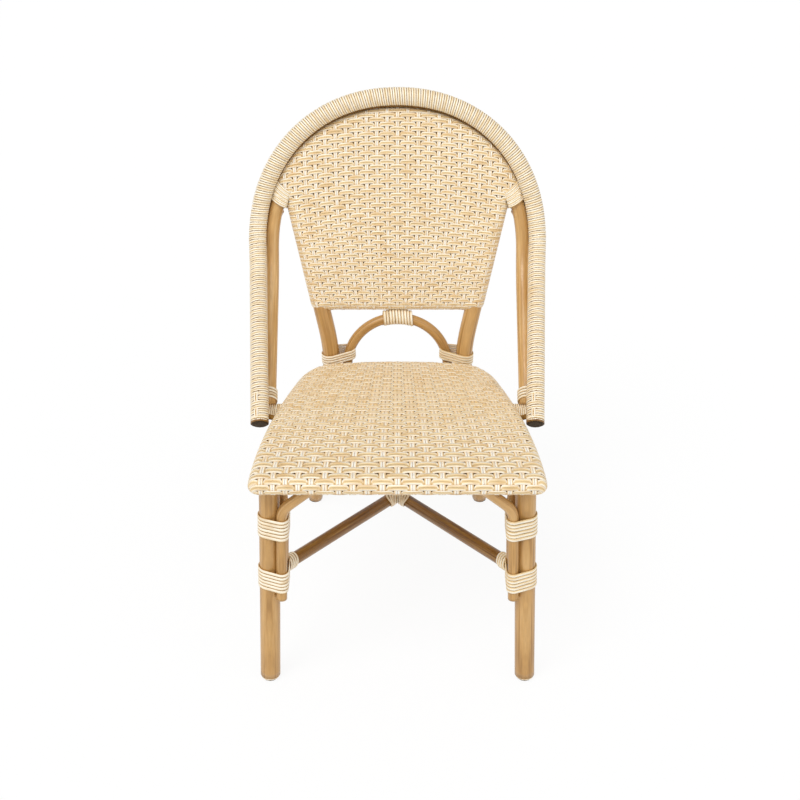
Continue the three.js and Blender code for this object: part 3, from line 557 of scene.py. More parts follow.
woven_radius = 15.7
hoop_radius = 13.5
wrapped_radius = 16.2
hoop_forward = 16
hoop_top_height = 861
hoop_end_depth = 205
hoop_end_gap = 3.5
hoop_top = vec(0, plane_y(hoop_top_height), hoop_top_height) - lean_normal * hoop_forward
hoop_end_half = float(rail_x(hoop_end_depth)) + woven_radius + hoop_end_gap + wrapped_radius
hoop_end = seat_point(hoop_end_half, hoop_end_depth)
hoop_straight = straight_down(hoop_top, hoop_end)
hoop_knee = hoop_top + lean_down * hoop_straight
hoop_half_path = hoop_half(
    hoop_top, half=249, rise=252, power=2.11, foot_half=hoop_end_half, straight=hoop_straight, bend=62,
    length=hoop_straight + np.linalg.norm((hoop_end - hoop_knee)[1:]))
hoop_path = whole(hoop_half_path)

inner_radius = 13
inner_drop = 33.5
inner_foot_depth = 264
inner_foot_y = seat_front + inner_foot_depth
inner_foot_gap = 8
inner_top = hoop_top + lean_normal * hoop_forward + lean_down * inner_drop
inner_straight = straight_down(inner_top, hoop_knee + leg_normal * inner_drop)
inner_knee = inner_top + lean_down * inner_straight
inner_foot_half = float(rail_x(inner_foot_depth)) + woven_radius + inner_foot_gap + inner_radius
inner_half_path = hoop_half(
    inner_top, half=226, rise=236, power=2.15, foot_half=inner_foot_half, straight=inner_straight, bend=55,
    length=inner_straight + (inner_knee[1] - inner_foot_y) / -leg_forward[1])
inner_foot = inner_half_path[-1]

add_pole("outer_hoop", hoop_path, hoop_radius)
# The inner hoop takes the paler copy of the golden rattan as painted light
add_pole("inner_hoop", whole(inner_half_path), inner_radius, lit_golden_rattan)

# Bottom rail of the back, seat rails and cross bars
bottom_rail_height = 517
front_rail_half = 221
bar_radius = 10
bar_rise = 2.0
rail_stile = stile_at(bottom_rail_height)
rail_hidden_radius = rail_radius - hidden_slack
# The rails inside the weaves are dark umber as painted shade, for where they show in shadow through the
# weave's gaps
add_pole("back_bottom_rail", np.array([mirrored(rail_stile), rail_stile]), inner_radius - hidden_slack, umber)
front_rail_path = seat_point(np.array([-front_rail_half, front_rail_half]), 0)
add_pole("seat_front_rail", front_rail_path, rail_hidden_radius, umber)
add_pole("seat_bent_rail", seat_point(rail_outline[:, 0], rail_outline[:, 1]), rail_hidden_radius, umber)
for bar_name, bar_depth in (("seat_front_cross_bar", 158), ("seat_rear_cross_bar", 268)):
    bar_half = float(rail_x(bar_depth)) - bar_radius
    add_pole(bar_name, seat_point(np.array([-bar_half, bar_half]), bar_depth, bar_rise), bar_radius)

# Pegs that carry the inner hoop's feet
peg_radius = 11
peg_gap = 2
peg_past_foot = 9
peg_height = inner_foot[2] - peg_radius - peg_gap
peg_path = np.array([
    vec(rail_x(inner_foot_depth), inner_foot_y, peg_height),
    vec(inner_foot_half + peg_past_foot, inner_foot_y, peg_height),
])
add_pole_pair("hoop_peg", peg_path, peg_radius, step=6)

# Small arch
arch_radius = 9
arch_foot = vec(92, 404, 396)
arch_apex_height = 487.8
arch_apex = vec(0, plane_y(arch_apex_height), arch_apex_height)
arch_middle = arch_foot * vec(0, 1, 1)
arch_angles = np.linspace(0, math.pi, 49)
arch_path = lerp(arch_middle, arch_apex, np.sin(arch_angles)[:, None])
arch_path[:, 0] = arch_foot[0] * np.cos(arch_angles)
add_pole("back_arch", arch_path, arch_radius, step=6)


# Braces
brace_radius = 9
brace_gap = 0.3
brace_bend = 18
front_brace_foot = 184
rear_brace_foot = 272
front_brace_turn = seat_height - 59.5
rear_brace_turn = seat_height - 75.5


def leg_place(leg_at, height):
    """A point on a leg, the way up it, and the ways across it to the chair's middle and its rear."""
    way = unit(leg_at(height + 4) - leg_at(height - 4))
    to_centre = unit(square_to(vec(-1, 0, 0), way))
    return leg_at(height), way, to_centre, np.cross(to_centre, way)


def leg_circles(leg_radius, *angles):
    """A leg and the braces that stand round it at these angles, as circles across the leg."""
    away = leg_radius + brace_radius + brace_gap
    turns = [math.radians(angle) for angle in angles]
    braces = [(away * math.cos(turn), away * math.sin(turn), brace_radius) for turn in turns]
    return [(0, 0, leg_radius), *braces]


def add_brace(node, leg_at, circle, foot, turn, rail_point):
    """Adds a pair of braces that stand beside the legs, and bend to the seat's rail."""
    beside = [point + to_centre * circle[0] + to_rear * circle[1]
              for point, _, to_centre, to_rear in (leg_place(leg_at, foot), leg_place(leg_at, turn))]
    add_pole_pair(node, bent([*beside, rail_point], brace_bend), brace_radius, step=5)


front_circles = leg_circles(front_leg_radius, -38, 38)
rear_circles = leg_circles(rear_leg_radius, -104, -18)
front_rail_point = seat_point(124.8, 0)
back_rail_point = seat_point(55, 415)
front_side_point, rear_side_point = (seat_point(rail_x(depth), depth) for depth in (122, 308))
for node, circle, rail_point in zip(
        ("front_brace", "front_side_brace"), front_circles[1:], (front_rail_point, front_side_point)):
    add_brace(node, front_leg_at, circle, front_brace_foot, front_brace_turn, rail_point)
for node, circle, rail_point in zip(
        ("rear_side_brace", "rear_brace"), rear_circles[1:], (rear_side_point, back_rail_point)):
    add_brace(node, rear_leg_at, circle, rear_brace_foot, rear_brace_turn, rail_point)

# Stretchers
stretcher_radius = 11
stretcher_front_height = seat_height - 199.5
stretcher_rear_height = seat_height - 257.5
stretcher_front = front_leg_at(stretcher_front_height)
stretcher_rear = rear_leg_at(stretcher_rear_height)
crossing_share = stretcher_front[0] / (stretcher_front[0] + stretcher_rear[0])
crossing = lerp(mirrored(stretcher_front), stretcher_rear, crossing_share)
for part, first, last in (
    ("whole", mirrored(stretcher_front), stretcher_rear),
    ("front_half", stretcher_front, crossing),
    ("rear_half", crossing, mirrored(stretcher_rear)),
):
    add_pole(f"stretcher_{part}", np.array([first, last]), stretcher_radius, umber, "dark_pole")


# Woven sheets: pairs of strands, plain woven, and wound round the poles under the sheet's rim
cane_sides = 6
cane_thick = 0.95
wave = 0.62
weave_radius = 15.2
column_numbers = np.arange(-12, 13)
# Shares of a row's pitch: a strand's width, and how far each of a pair is off the row's middle
strand_share = 0.515
strand_offset_share = 0.243
# Each strand of a column is off the column's middle by this share of its own width
column_offset_share = 0.47
# Half the length of the slope where a row dives under a column, as a share of the columns' spacing
slant_share = 0.045
# A row's floats bow by this much, and by this share of its pitch
bow_least = 0.07
bow_share = 0.03
# Past the rim the bows and waves of the rows fade away over this length
fade_length = 9
rolled_step = 4.5


class Sheet:
    """A flat sheet, given by its rim in its own plane, that folds down over poles under that rim."""

    def __init__(self, origin, lengthwise, outwards, rim, radius):
        self.origin = origin
        self.axes = np.array([vec(1, 0, 0), lengthwise, outwards])
        self.rim = rim
        self.radius = radius

    def placed(self, points):
        return self.origin + points @ self.axes

    def fold(self, x, t, lift):
        """Where points of the flat sheet come to lie, how the sheet faces there, and how far past the rim."""
        flat = joined(x, t)
        spans = np.roll(self.rim, -1, axis=0) - self.rim
        from_starts = flat[:, None] - self.rim
        shares = np.clip(np.sum(from_starts * spans, axis=2) / np.sum(spans ** 2, axis=1), 0, 1)
        gaps = from_starts - spans * shares[..., None]
        nearest = np.argmin(np.sum(gaps ** 2, axis=2), axis=1)
        gap = gaps[np.arange(len(flat)), nearest]
        span = spans[nearest]
        outside = span[:, 0] * gap[:, 1] < span[:, 1] * gap[:, 0]
        gap = gap * outside[:, None]
        past = np.linalg.norm(gap, axis=1)
        turn = past / self.radius
        out = gap / np.maximum(past, 1e-9)[:, None] * np.sin(turn)[:, None]
        facing = np.concatenate([out, np.cos(turn)[:, None]], axis=1)
        rest = np.concatenate([flat - gap, 0 * turn[:, None]], axis=1)
        return self.placed(rest + facing * (self.radius + lift)[:, None]), facing @ self.axes, past


def rows_between(first, last, places, pitches):
    rows = [first]
    while rows[-1] < last:
        rows.append(rows[-1] + float(np.interp(rows[-1], places, pitches)))
    return np.array(rows)


def row_number(rows, t):
    """The place of t among the rows, as a number that is whole at each row's middle."""
    steps = np.diff(rows)
    number = np.interp(t, rows, np.arange(len(rows)))
    number = np.where(t < rows[0], (t - rows[0]) / steps[0], number)
    return np.where(t > rows[-1], len(rows) - 1 + (t - rows[-1]) / steps[-1], number)


def row_pitch(rows, row):
    return float(np.interp(row, np.arange(len(rows) - 1) + 0.5, np.diff(rows)))


def places_along(rows, samples):
    """Places along a column, with so many samples to a row."""
    return np.interp(np.arange(0, len(rows) - 1, 1 / samples), np.arange(len(rows)), rows)


def add_run(bundle, path, facing, past, width, side, longest, tint=0):
    """Adds the stretch of a strand that isn't past the end of its roll."""
    kept = np.flatnonzero(past <= longest)
    if len(kept) < 3:
        return
    run = slice(kept[0], kept[-1] + 1)
    widths = np.broadcast_to(width, len(path))[run]
    tints = np.broadcast_to(tint, len(path))[run]
    bundle.add(path[run], facing[run], widths, cane_thick, side=side, tint=tints)


def diving(x, row, columns, dive_share):
    """One where a row goes under a column's strands, and nought where it lies over them."""
    under = (column_numbers + row) % 2 == 0
    beside = np.abs(x[:, None] - columns[under]) / np.gradient(columns)[under]
    return 1 - smooth_step(np.min(beside, axis=1), dive_share - slant_share, dive_share + slant_share)


def row_samples(row, columns, reach, roll, dive_share):
    """Places along a row: close together where it dives, and a few on each float and on the rolls."""
    edges = np.array([dive_share - slant_share, dive_share, dive_share + slant_share])
    dive = np.concatenate([-edges[::-1], [0], edges])
    places = []
    for number, x, spacing in zip(column_numbers, columns, np.gradient(columns)):
        if (number + row) % 2:
            places += list(x + np.array([-0.5, 0, 0.5]) * (1 - dive_share - slant_share) * spacing)
        else:
            places += list(x + dive * spacing)
    flat = np.unique([place for place in places if abs(place) < reach])
    rolled = np.arange(reach + 1, reach + roll, rolled_step)
    return np.concatenate([-rolled[::-1], flat, rolled])


def add_column(bundle, fold, middle, phase, wide, roll, lift_by, tint=0):
    """Adds a column's two strands; fold says where they come to lie from their x and their lift."""
    for side in (-1, 1):
        path, facing, past = fold(middle + side * wide * column_offset_share, wave * np.cos(phase) + lift_by)
        add_run(bundle, path, facing, past, wide, side, roll, tint)


def add_row(bundle, fold, x, row, columns, pitch, dive_share, dip, jitter, roll, lift_by,
            thin=1.0, fading=True):
    """Adds a row's two strands, which bow on each float and dip where they dive under a column.

    Fold says where they come to lie, from how far they are off the row's middle and from their lift.
    """
    phase = math.pi * (np.interp(x, columns, column_numbers) + row)
    bow = -(bow_least + bow_share * pitch) * np.cos(phase) - dip * diving(x, row, columns, dive_share)
    for side in (-1, 1):
        off = side * pitch * strand_offset_share + bundle.random.normal(0, jitter)
        past = fold(off, 0 * x)[2]
        fade = np.where(fading, np.clip(1 - past / fade_length, 0, 1), 1)
        path, facing, past = fold(off + thin * bow * fade, -wave * np.cos(phase) * fade + lift_by)
        add_run(bundle, path, facing, past, strand_share * pitch, side, roll)


# Woven seat
outer_column = 10
# The outermost columns lie at this share of the half width, and the middle ones spread by the second
outer_column_share = 0.975
middle_column_gain = 0.13
seat_rim = np.concatenate([[(front_half, 0)], rail_outline, [(-front_half, 0)]])
seat_sheet = Sheet(seat_point(0, 0), vec(0, 1, -seat_fall), vec(0, 0, 1), seat_rim, weave_radius)
seat_roll = weave_radius * math.radians(285)
front_row = -20.5
roll_pitch = 9.6
seat_rows = rows_between(
    front_row - 5 * roll_pitch, seat_deep + seat_roll - 6,
    places=[-25, -20.5, -10.5, 1.5, 40, 56, 72, 86, 100, 133, 161, 191, 220, 250, 281, 420],
    pitches=[9.6, 10, 12, 18, 17.6, 15.6, 15.2, 14.2, 13.3, 12.2, 11.6, 10.8, 10.0, 9.3, 8.7, 8.4],
)
# From front to rear the columns' strands grow wider and the rows' dives longer between these depths
change_depths = [60, 280]
column_strand_shares = [0.26, 0.39]
seat_dive_shares = [0.345, 0.47]
seat_jitter = 0.12
tint_depths = [80, 260]
rear_tint = 0.6


def seat_columns(depth, number):
    """Where a column of the seat lies at a depth; towards the sides they lie closer together."""
    share = number / outer_column
    return outer_column_share * half_width(depth) * share * (1 + middle_column_gain * (1 - np.abs(share)))


def seat_warp(name, rows, roll, samples, lift_by=0.0, thin=1.0):
    """The seat's columns, which run from front to back and turn to honey towards the rear."""
    bundle = Bundle(name, cane_sides)
    t = places_along(rows, samples)
    tint = rear_tint * smooth_step(t, *tint_depths)
    for column in range(-outer_column, outer_column + 1):
        middle = seat_columns(t, column)
        spacing = np.abs(seat_columns(t, column + 1) - middle)
        wide = thin * np.interp(t, change_depths, column_strand_shares) * spacing
        add_column(bundle, lambda x, lift: seat_sheet.fold(x, t, lift), middle,
                   math.pi * (row_number(rows, t) + column), wide, roll, lift_by, tint)
    return bundle


def seat_weft(name, rows, roll, lift_by=0.0, thin=1.0):
    """The seat's rows, which run from side to side, and keep their bows on the rolls at front and rear."""
    bundle = Bundle(name, cane_sides)
    for row, depth in enumerate(rows):
        pitch = row_pitch(rows, row)
        columns = seat_columns(depth, column_numbers)
        reach = float(rail_x(np.clip(depth, side_start, seat_deep)))
        dive_share = float(np.interp(depth, change_depths, seat_dive_shares))
        x = row_samples(row, columns, reach, roll, dive_share)
        add_row(bundle, lambda off, lift: seat_sheet.fold(x, depth + off, lift), x, row, columns, pitch,
                dive_share, dip=0.8 + 0.285 * pitch, jitter=seat_jitter, roll=roll, lift_by=lift_by,
                thin=thin, fading=np.abs(x) > reach + 3)
    return bundle


seat_warp("seat_warp_strands", seat_rows, seat_roll, 4).finish(warp_cane, "woven_cane", ["seat_weave"])
seat_weft("seat_weft_strands", seat_rows, seat_roll).finish(weft_cane, "woven_cane")


# What lies under a weave: a dark lining that closes the holes, its dark colour painted shade for the holes,
# and a plainer weave that faces the other way
shade_sheet_thick = 0.3


def add_painted_shade_sheet(name, sheet, outline, rise):
    bm = bmesh.new()
    corners = [bm.verts.new((*corner, rise)) for corner in outline]
    made = bmesh.ops.contextual_create(bm, geom=corners)
    grown = bmesh.ops.extrude_face_region(bm, geom=made["faces"])
    raised = [v for v in grown["geom"] if isinstance(v, bmesh.types.BMVert)]
    bmesh.ops.translate(bm, verts=raised, vec=(0, 0, -shade_sheet_thick))
    bmesh.ops.recalc_face_normals(bm, faces=bm.faces)
    mesh = new_mesh(name, bm)
    add_piece(name, mesh, sheet.placed(places_of(mesh)), painted_shade_core)


add_painted_shade_sheet("seat_painted_shade_sheet", seat_sheet, seat_rim * 0.985 + (0, 3), rise=14.6)
under_pitch = 8.4
under_rise = 12.35
under_rows = np.arange(16.0, seat_deep - 4, under_pitch)
under_options = {"rows": under_rows, "roll": 0.5, "lift_by": under_rise - weave_radius, "thin": 0.9}
seat_warp("seat_underside_warp", samples=3, **under_options).finish(warp_cane, "woven_cane")
seat_weft("seat_underside_weft", **under_options).finish(weft_cane, "woven_cane")

# Woven back: heights are measured up its plane from the stiles' knees
back_origin = vec(0, plane_y(knee_height), knee_height)
lean_up = -lean_down
lean_front = -lean_normal
rail_up = (bottom_rail_height - knee_height) / math.cos(lean)
notch_height = 686
notch_up = (notch_height - knee_height) / math.cos(lean)
stile_spread = stile_slope * math.cos(lean)
stile_weave_radius = 17.0
back_roll = weave_radius * math.radians(250)
arch_half = inner_half_path[:41]
arch_halves = arch_half[::-1, 0]
arch_ups = ((arch_half - back_origin) @ lean_up)[::-1]
top_up = arch_ups[-1]
notch_half = float(np.interp(notch_up, arch_ups, arch_halves))
edge_column = 11
widest_row_half = 214
column_ups = [60, 96.8, 173.6, 230, 290, 350, 425]
column_pitches = [13.9, 14.7, 16.4, 17.4, 18.0, 18.2, 18.3]
row_hang = 0.00043
hang_ups = (130, 270)
back_warp_share = 0.228
back_dive_share = 0.333
back_jitter = 0.1


def stile_half(up):
    return knee_half + stile_spread * up


def mirrored_rim(right):
    """A closed rim, anticlockwise, from its right half, which runs upwards."""
    return np.concatenate([right, right[::-1] * (-1, 1)])


far_below = -200
far_above = 600
roll_reach = 34
upper_rim = mirrored_rim(np.array([(arch_halves[0] - 4, far_below), *zip(arch_halves[:-1], arch_ups[:-1])]))
lower_rim = mirrored_rim(np.array([(stile_half(up), up) for up in (rail_up, far_above)]))
back_rows = rows_between(
    rail_up - roll_reach, top_up + roll_reach,
    places=[60, 110, 170, 250, 330, 430],
    pitches=[7.4, 7.2, 7.7, 8.4, 8.3, 8.0],
)
rear_rows = back_rows[(back_rows > rail_up) & (back_rows < top_up + 9)]


def back_pitch(up):
    """The spacing of the back's columns, which fan out from the bottom rail and then run straighter."""
    return np.interp(up, column_ups, column_pitches)


def sag(x, up):
    """How far a row hangs at its ends, more so towards the top."""
    return row_hang * x ** 2 * smooth_step(up, *hang_ups)


def at_stile(x, up):
    """How far the sheet stands nearer the back's middle plane than over the thicker stiles."""
    near = smooth_step(np.abs(x), stile_half(up) - 26, stile_half(up) - 4)
    return -(stile_weave_radius - weave_radius) * (1 - near)


def back_sheets(outwards):
    """The sheets over the stiles and the bottom rail, and over the inner hoop."""
    return (Sheet(back_origin, lean_up, outwards, lower_rim, stile_weave_radius),
            Sheet(back_origin, lean_up, outwards, upper_rim, weave_radius))


def fold_back(sheets, x, up, lift, in_hoop):
    """Folds a strand of the back: over the hoop above the shoulder, and over stiles and rail below it."""
    lower, upper = sheets
    chosen = np.broadcast_to(in_hoop, len(x))
    return [np.where(chosen if low.ndim == 1 else chosen[:, None], high, low)
            for low, high in zip(lower.fold(x, up, lift + at_stile(x, up)), upper.fold(x, up, lift))]


def back_warp(name, sheets, rows, roll, samples, lift_by=0.0):
    """The back's columns, whose outermost pair starts above the notch at the shoulder."""
    bundle = Bundle(name, cane_sides)
    for column in range(-edge_column, edge_column + 1):
        up = places_along(rows, samples)
        if abs(column) == edge_column:
            up = up[up > notch_up + 16]
        middle = column * back_pitch(up)
        wide = back_warp_share * back_pitch(up)
        hung = up - sag(middle, up)
        add_column(bundle, lambda x, lift: fold_back(sheets, x, hung, lift, hung > notch_up - 3), middle,
                   math.pi * (row_number(rows, up) + column), wide, roll, lift_by)
    return bundle


def back_weft(name, sheets, rows, roll, shoulder, lift_by=0.0):
    """The back's rows, which hang a little; those that end above the shoulder fold over the hoop."""
    bundle = Bundle(name, cane_sides)
    for row, row_up in enumerate(rows):
        pitch = row_pitch(rows, row)
        columns = float(back_pitch(row_up)) * column_numbers
        ends = min(float(stile_half(row_up)), widest_row_half)
        end_up = row_up - sag(ends, row_up)
        in_hoop = end_up > notch_up + shoulder
        if in_hoop:
            ends = float(np.interp(end_up, arch_ups, arch_halves))
        x = row_samples(row, columns, ends + 8, 120, back_dive_share)
        hung = row_up - sag(x, row_up)
        add_row(bundle, lambda off, lift: fold_back(sheets, x, hung + off, lift, in_hoop), x, row, columns,
                pitch, back_dive_share, dip=2.0 + 0.15 * pitch, jitter=back_jitter, roll=roll,
                lift_by=lift_by)
    return bundle


front_sheets = back_sheets(lean_front)
warp = back_warp("back_warp_strands", front_sheets, back_rows, back_roll, samples=4)
warp.finish(warp_cane, "woven_cane", ["back_weave"])
weft = back_weft("back_weft_strands", front_sheets, back_rows, back_roll, shoulder=12)
weft.finish(weft_cane, "woven_cane")
rear_options = {"sheets": back_sheets(-lean_front), "rows": rear_rows, "roll": 10, "lift_by": -1.8}
back_warp("back_rear_warp_strands", samples=3, **rear_options).finish(warp_cane, "woven_cane")
back_weft("back_rear_weft_strands", shoulder=3, **rear_options).finish(weft_cane, "woven_cane")

inset = 2
shade_sheet_right = np.array([
    *[(stile_half(up) - inset, up) for up in (rail_up, notch_up)],
    *[(x - inset, up - inset) for x, up in zip(arch_halves, arch_ups) if up > notch_up and x > 0],
])
# The back's dark lining: painted shade seen through the holes of its weave
add_painted_shade_sheet("back_painted_shade_sheet", front_sheets[1], mirrored_rim(shade_sheet_right), rise=13.9)

# The strands that fan out from the notch at the shoulder, over the inner hoop and round its outer side.
# Their starts and ends are half widths and heights from the notch, of the lowest strand and the highest.
fan_starts = np.array([(197.4, -8.5), (189.3, 15.5)])
fan_ends = np.array([(223.7, 8), (215.3, 39)])
fan_strands = 10
fan_past = 1.15
fan_bow = 2.4
fan_lift = 1.5
fan_tuck = 2.4
fan_rolled = np.arange(4, 50, rolled_step)
fan_shares = np.concatenate([np.linspace(0, fan_past, 9), np.full(len(fan_rolled), fan_past)])
shoulder_fan = Bundle("shoulder_strands", cane_sides)
for strand_number in range(fan_strands):
    fan_start, fan_end = (
        lerp(*points, strand_number / (fan_strands - 1)) + (0, notch_up) for points in (fan_starts, fan_ends))
    x, up = lerp(fan_start, fan_end, fan_shares[:, None]).T
    x[-len(fan_rolled):] += fan_rolled
    share = np.clip((x - fan_start[0]) / (fan_end[0] - fan_start[0]), 0, 1)
    up = up - fan_bow * np.sin(share * math.pi)
    lift = fan_lift - fan_tuck * (1 - smooth_step(x, fan_start[0] - 1, fan_start[0] + 7))
    path, facing, past = front_sheets[1].fold(x, up, lift)
    for side, flip in both_sides:
        shoulder_fan.add(path * flip, facing * flip, width=3.3, thickness=1.5, side=(-1) ** strand_number)

# Three strands that run round the inner hoop just under the fan
under_fan_spacing = 3.3
under_fan_angles = np.radians(np.linspace(-150, 20, 20))
around = joined(np.sin(under_fan_angles), 0, np.cos(under_fan_angles))
facing = around @ front_sheets[1].axes
for strand_number in range(3):
    up = notch_up - 10.5 + under_fan_spacing * strand_number + 20 * smooth_step(around[:, 0], -1.2, 0.3)
    path = front_sheets[1].placed(joined(notch_half, up, 0) + around * (weave_radius + 1.2))
    for side, flip in both_sides:
        shoulder_fan.add(path * flip, facing * flip, width=3.7, thickness=1.4, side=(-1) ** strand_number)
shoulder_fan.finish(wrap_cane, "woven_cane")


# Windings: flat strands pulled taut round poles
winding_sides = 8


def taut_outline(circles, margin, spacing=3.5):
    """Places and outward normals, evenly spaced, on a line pulled taut round circles."""
    angles = np.linspace(0, 2 * math.pi, 721)
    normals = joined(np.cos(angles), np.sin(angles))
    centres = np.array([circle[:2] for circle in circles], float)
    radii = np.array([circle[2] for circle in circles], float) + margin
    widest = np.argmax(normals @ centres.T + radii, axis=1)
    places = centres[widest] + normals * radii[widest, None]
    lengths = lengths_along(places)
    at = np.linspace(0, lengths[-1], int(round(lengths[-1] / spacing)) + 1)
    return read_at(at, lengths, places)[:-1], unit(read_at(at, lengths, normals))[:-1]


def wind(name, replaced, place, circles, turns, width=6.2, pitch=6.6, thickness=2.2, margin=0.4,
         start_angle=90, lean_in=0.0, follow=None, flip=1):
    """Adds a strand wound round poles, whose ends tuck in on the side where it starts.

    The place is a point, the way along the poles and the two ways across, which their circles are in.
    Lean_in tilts the turns, and follow says how far the poles stray from a straight line.
    """
    centre, axis, *across = place
    places, normals = taut_outline(circles, margin + thickness / 2)
    begin = np.argmax(normals @ (math.cos(math.radians(start_angle)), math.sin(math.radians(start_angle))))
    count = len(places)
    step = np.arange(turns * count + 4)
    at = (step + begin) % count
    share = step / count
    tucked = np.minimum(step, step[::-1])
    depth = -thickness * np.clip(1 - tucked / 3, 0, 1)
    rise = (share - share[-1] / 2) * pitch + lean_in * (places[at, 0] - places[:, 0].mean())
    path = centre + (places[at] + normals[at] * depth[:, None]) @ across + rise[:, None] * axis
    if follow is not None:
        path = path + follow(rise)
    bundle = Bundle(name, winding_sides)
    wobble = bundle.random.normal(0, 0.12, len(step) // 6 + 3)
    wavy = np.interp(step / 6, np.arange(len(wobble)), wobble)
    path = path + wavy[:, None] * axis
    bundle.add(path * flip, normals[at] @ across * flip, width, thickness, edge=0.72)
    bundle.finish(binding_cane, "binding_cane", [replaced])


def wind_pair(node, place, circles, turns, **options):
    for side, flip in both_sides:
        wind(f"{node}_{side}_strand", f"{node}_{side}", place, circles, turns, flip=flip, **options)


# Bindings on the legs
wind_pair("upper_binding", leg_place(front_leg_at, front_brace_turn - 36), front_circles, 6)
wind_pair("lower_binding", leg_place(front_leg_at, stretcher_front_height), front_circles, 6, lean_in=-0.05)
wind_pair("rear_binding", leg_place(rear_leg_at, rear_brace_turn - 39), rear_circles, 4, start_angle=200)

# Bindings of four turns round one pole
single_binding_half = 9.9
front_hull_reach = max(math.hypot(x, y) + radius for x, y, radius in front_circles) + 2.4


def wind_pole_pair(node, start, toward, distance, radius, **options):
    """Winds a pair of bindings, each at a distance from the pole's start, along the way it runs."""
    axis = unit(toward - start)
    first = unit(square_to(vec(0, 0, 1), axis))
    place = (start + axis * (distance + single_binding_half), axis, first, np.cross(axis, first))
    wind_pair(node, place, [(0, 0, radius)], 4, **options)


wind_pole_pair("stretcher_front_binding", stretcher_front, crossing, front_hull_reach + 2, stretcher_radius,
               width=4.6, pitch=5.0, start_angle=180, lean_in=0.25)
wind_pole_pair("stretcher_rear_binding", stretcher_rear, crossing, rear_leg_radius + 17, stretcher_radius,
               width=4.6, pitch=5.0, start_angle=180)
wind_pole_pair("inner_foot_binding", inner_foot, inner_half_path[-2], 4, inner_radius,
               width=4.8, pitch=5.2, start_angle=0, lean_in=0.15)

# Binding that ties the small arch's feet to the stiles
stile_binding_height = arch_foot[2] + 21


def point_at_height(path, height):
    return read_at(height, path[:, 2], path)


stile_place = leg_place(lambda height: point_at_height(rear_leg_path, height), stile_binding_height)
to_arch = np.array(stile_place[2:]) @ (point_at_height(arch_path[:24], stile_binding_height) - stile_place[0])
wind_pair("stile_binding", stile_place, [(0, 0, rear_leg_radius), (*to_arch, arch_radius + 1.5)], 4,
          width=5.0, pitch=5.2, start_angle=100, lean_in=0.06)


# Binding at the small arch's top, which follows its curve
def arch_fall(x):
    return (arch_middle - arch_apex) * (1 - np.sqrt(1 - (x / arch_foot[0]) ** 2))[:, None]


wind("arch_binding_strand", "arch_binding", (arch_apex, vec(1, 0, 0), lean_up, lean_front),
     [(0, 0, arch_radius), (6.5, 0, 6.5)], 10, width=5.0, pitch=5.3, margin=1.2, start_angle=180,
     follow=arch_fall)

# Binding of the crossing: loops that lie fore and aft in the notches and spread out over the arms
arm = stretcher_rear - mirrored(stretcher_front)
arm_slope = arm[1] / arm[0]
arm_stretch = math.hypot(arm[0], arm[1]) / arm[0]
crossing_rear = unit(vec(0, 1, arm[2] / arm[1]))
crossing_axes = np.array([vec(1, 0, 0), crossing_rear, np.cross(vec(1, 0, 0), crossing_rear)])
crossing_binding = Bundle("crossing_binding_strands", winding_sides)
loop_radius = stretcher_radius + 2.0
loop_angle = np.linspace(0, 2 * math.pi, 49)[:-1]
loop_up = np.sin(loop_angle)
fore_aft = np.sign(np.cos(loop_angle))
loop_offsets = ((0, 0), (4.2, 4.6), (7.2, 9.5), (8.8, 14.5), (10.0, 19.5))
for in_notch, over_arm in loop_offsets:
    for sign in ((1, -1) if in_notch else (1,)):
        x = sign * lerp(in_notch, over_arm, np.clip(loop_up, 0, 1) ** 1.3)
        away = loop_radius * joined(0, fore_aft * np.abs(np.cos(loop_angle)), loop_up)
        arm_way = unit(joined(sign, fore_aft * arm_slope, 0))
        flat = away * (1, arm_stretch, 1) + joined(x, fore_aft * arm_slope * np.abs(x), 0)
        out = square_to(away, arm_way) if in_notch else away
        loop = crossing + np.concatenate([flat, flat[:2]]) @ crossing_axes
        facing = np.concatenate([out, out[:2]]) @ crossing_axes
        crossing_binding.add(loop, facing, width=5.2, thickness=1.8, edge=0.8, side=sign)
crossing_binding.finish(binding_cane, "binding_cane", ["crossing_binding"])

# The outer hoop's wrapping: two strands side by side in one long helix
wrap_pitch = 8.1
wrap_wide = 3.85
wrap_thick = 1.9
wrap_middle = hoop_radius + 0.3 + wrap_thick / 2
wrap_samples = sorted({*range(-180, 180, 18), -42, -30, -6, 6, 30, 42})
fine_hoop = sampled(hoop_path, 3)
hoop_lengths = lengths_along(fine_hoop)
hoop_total = hoop_lengths[-1]
hoop_along = tangents(fine_hoop)
in_plane = np.abs(hoop_along @ lean_normal)[:, None] < 0.3
hoop_front = unit(square_to(np.where(in_plane, lean_front, -leg_normal), hoop_along))
hoop_side = np.cross(hoop_along, hoop_front)


def around_hoop(lengths, angle, radius):
    """Points on a tube round the hoop, and the way they face; angle 0 is its front."""
    middle, front, side = (read_at(lengths, hoop_lengths, v) for v in (fine_hoop, hoop_front, hoop_side))
    facing = unit(front * np.cos(angle)[:, None] + side * np.sin(angle)[:, None])
    return middle + facing * np.broadcast_to(radius, len(lengths))[:, None], facing


bare_end = 1.5 + wrap_wide
wrapped_length = hoop_total - 2 * bare_end
wrap_turns = int(wrapped_length / wrap_pitch) + 2
wrap_angle = np.radians([turn * 360 + sample for turn in range(wrap_turns) for sample in wrap_samples])
turn_number = (wrap_angle + math.pi) / (2 * math.pi)
wrap_share = np.clip((turn_number - 1) / (wrap_turns - 2), 0, 1)
wrap_lengths = bare_end + wrap_share * wrapped_length
from_top = wrap_lengths - hoop_total / 2

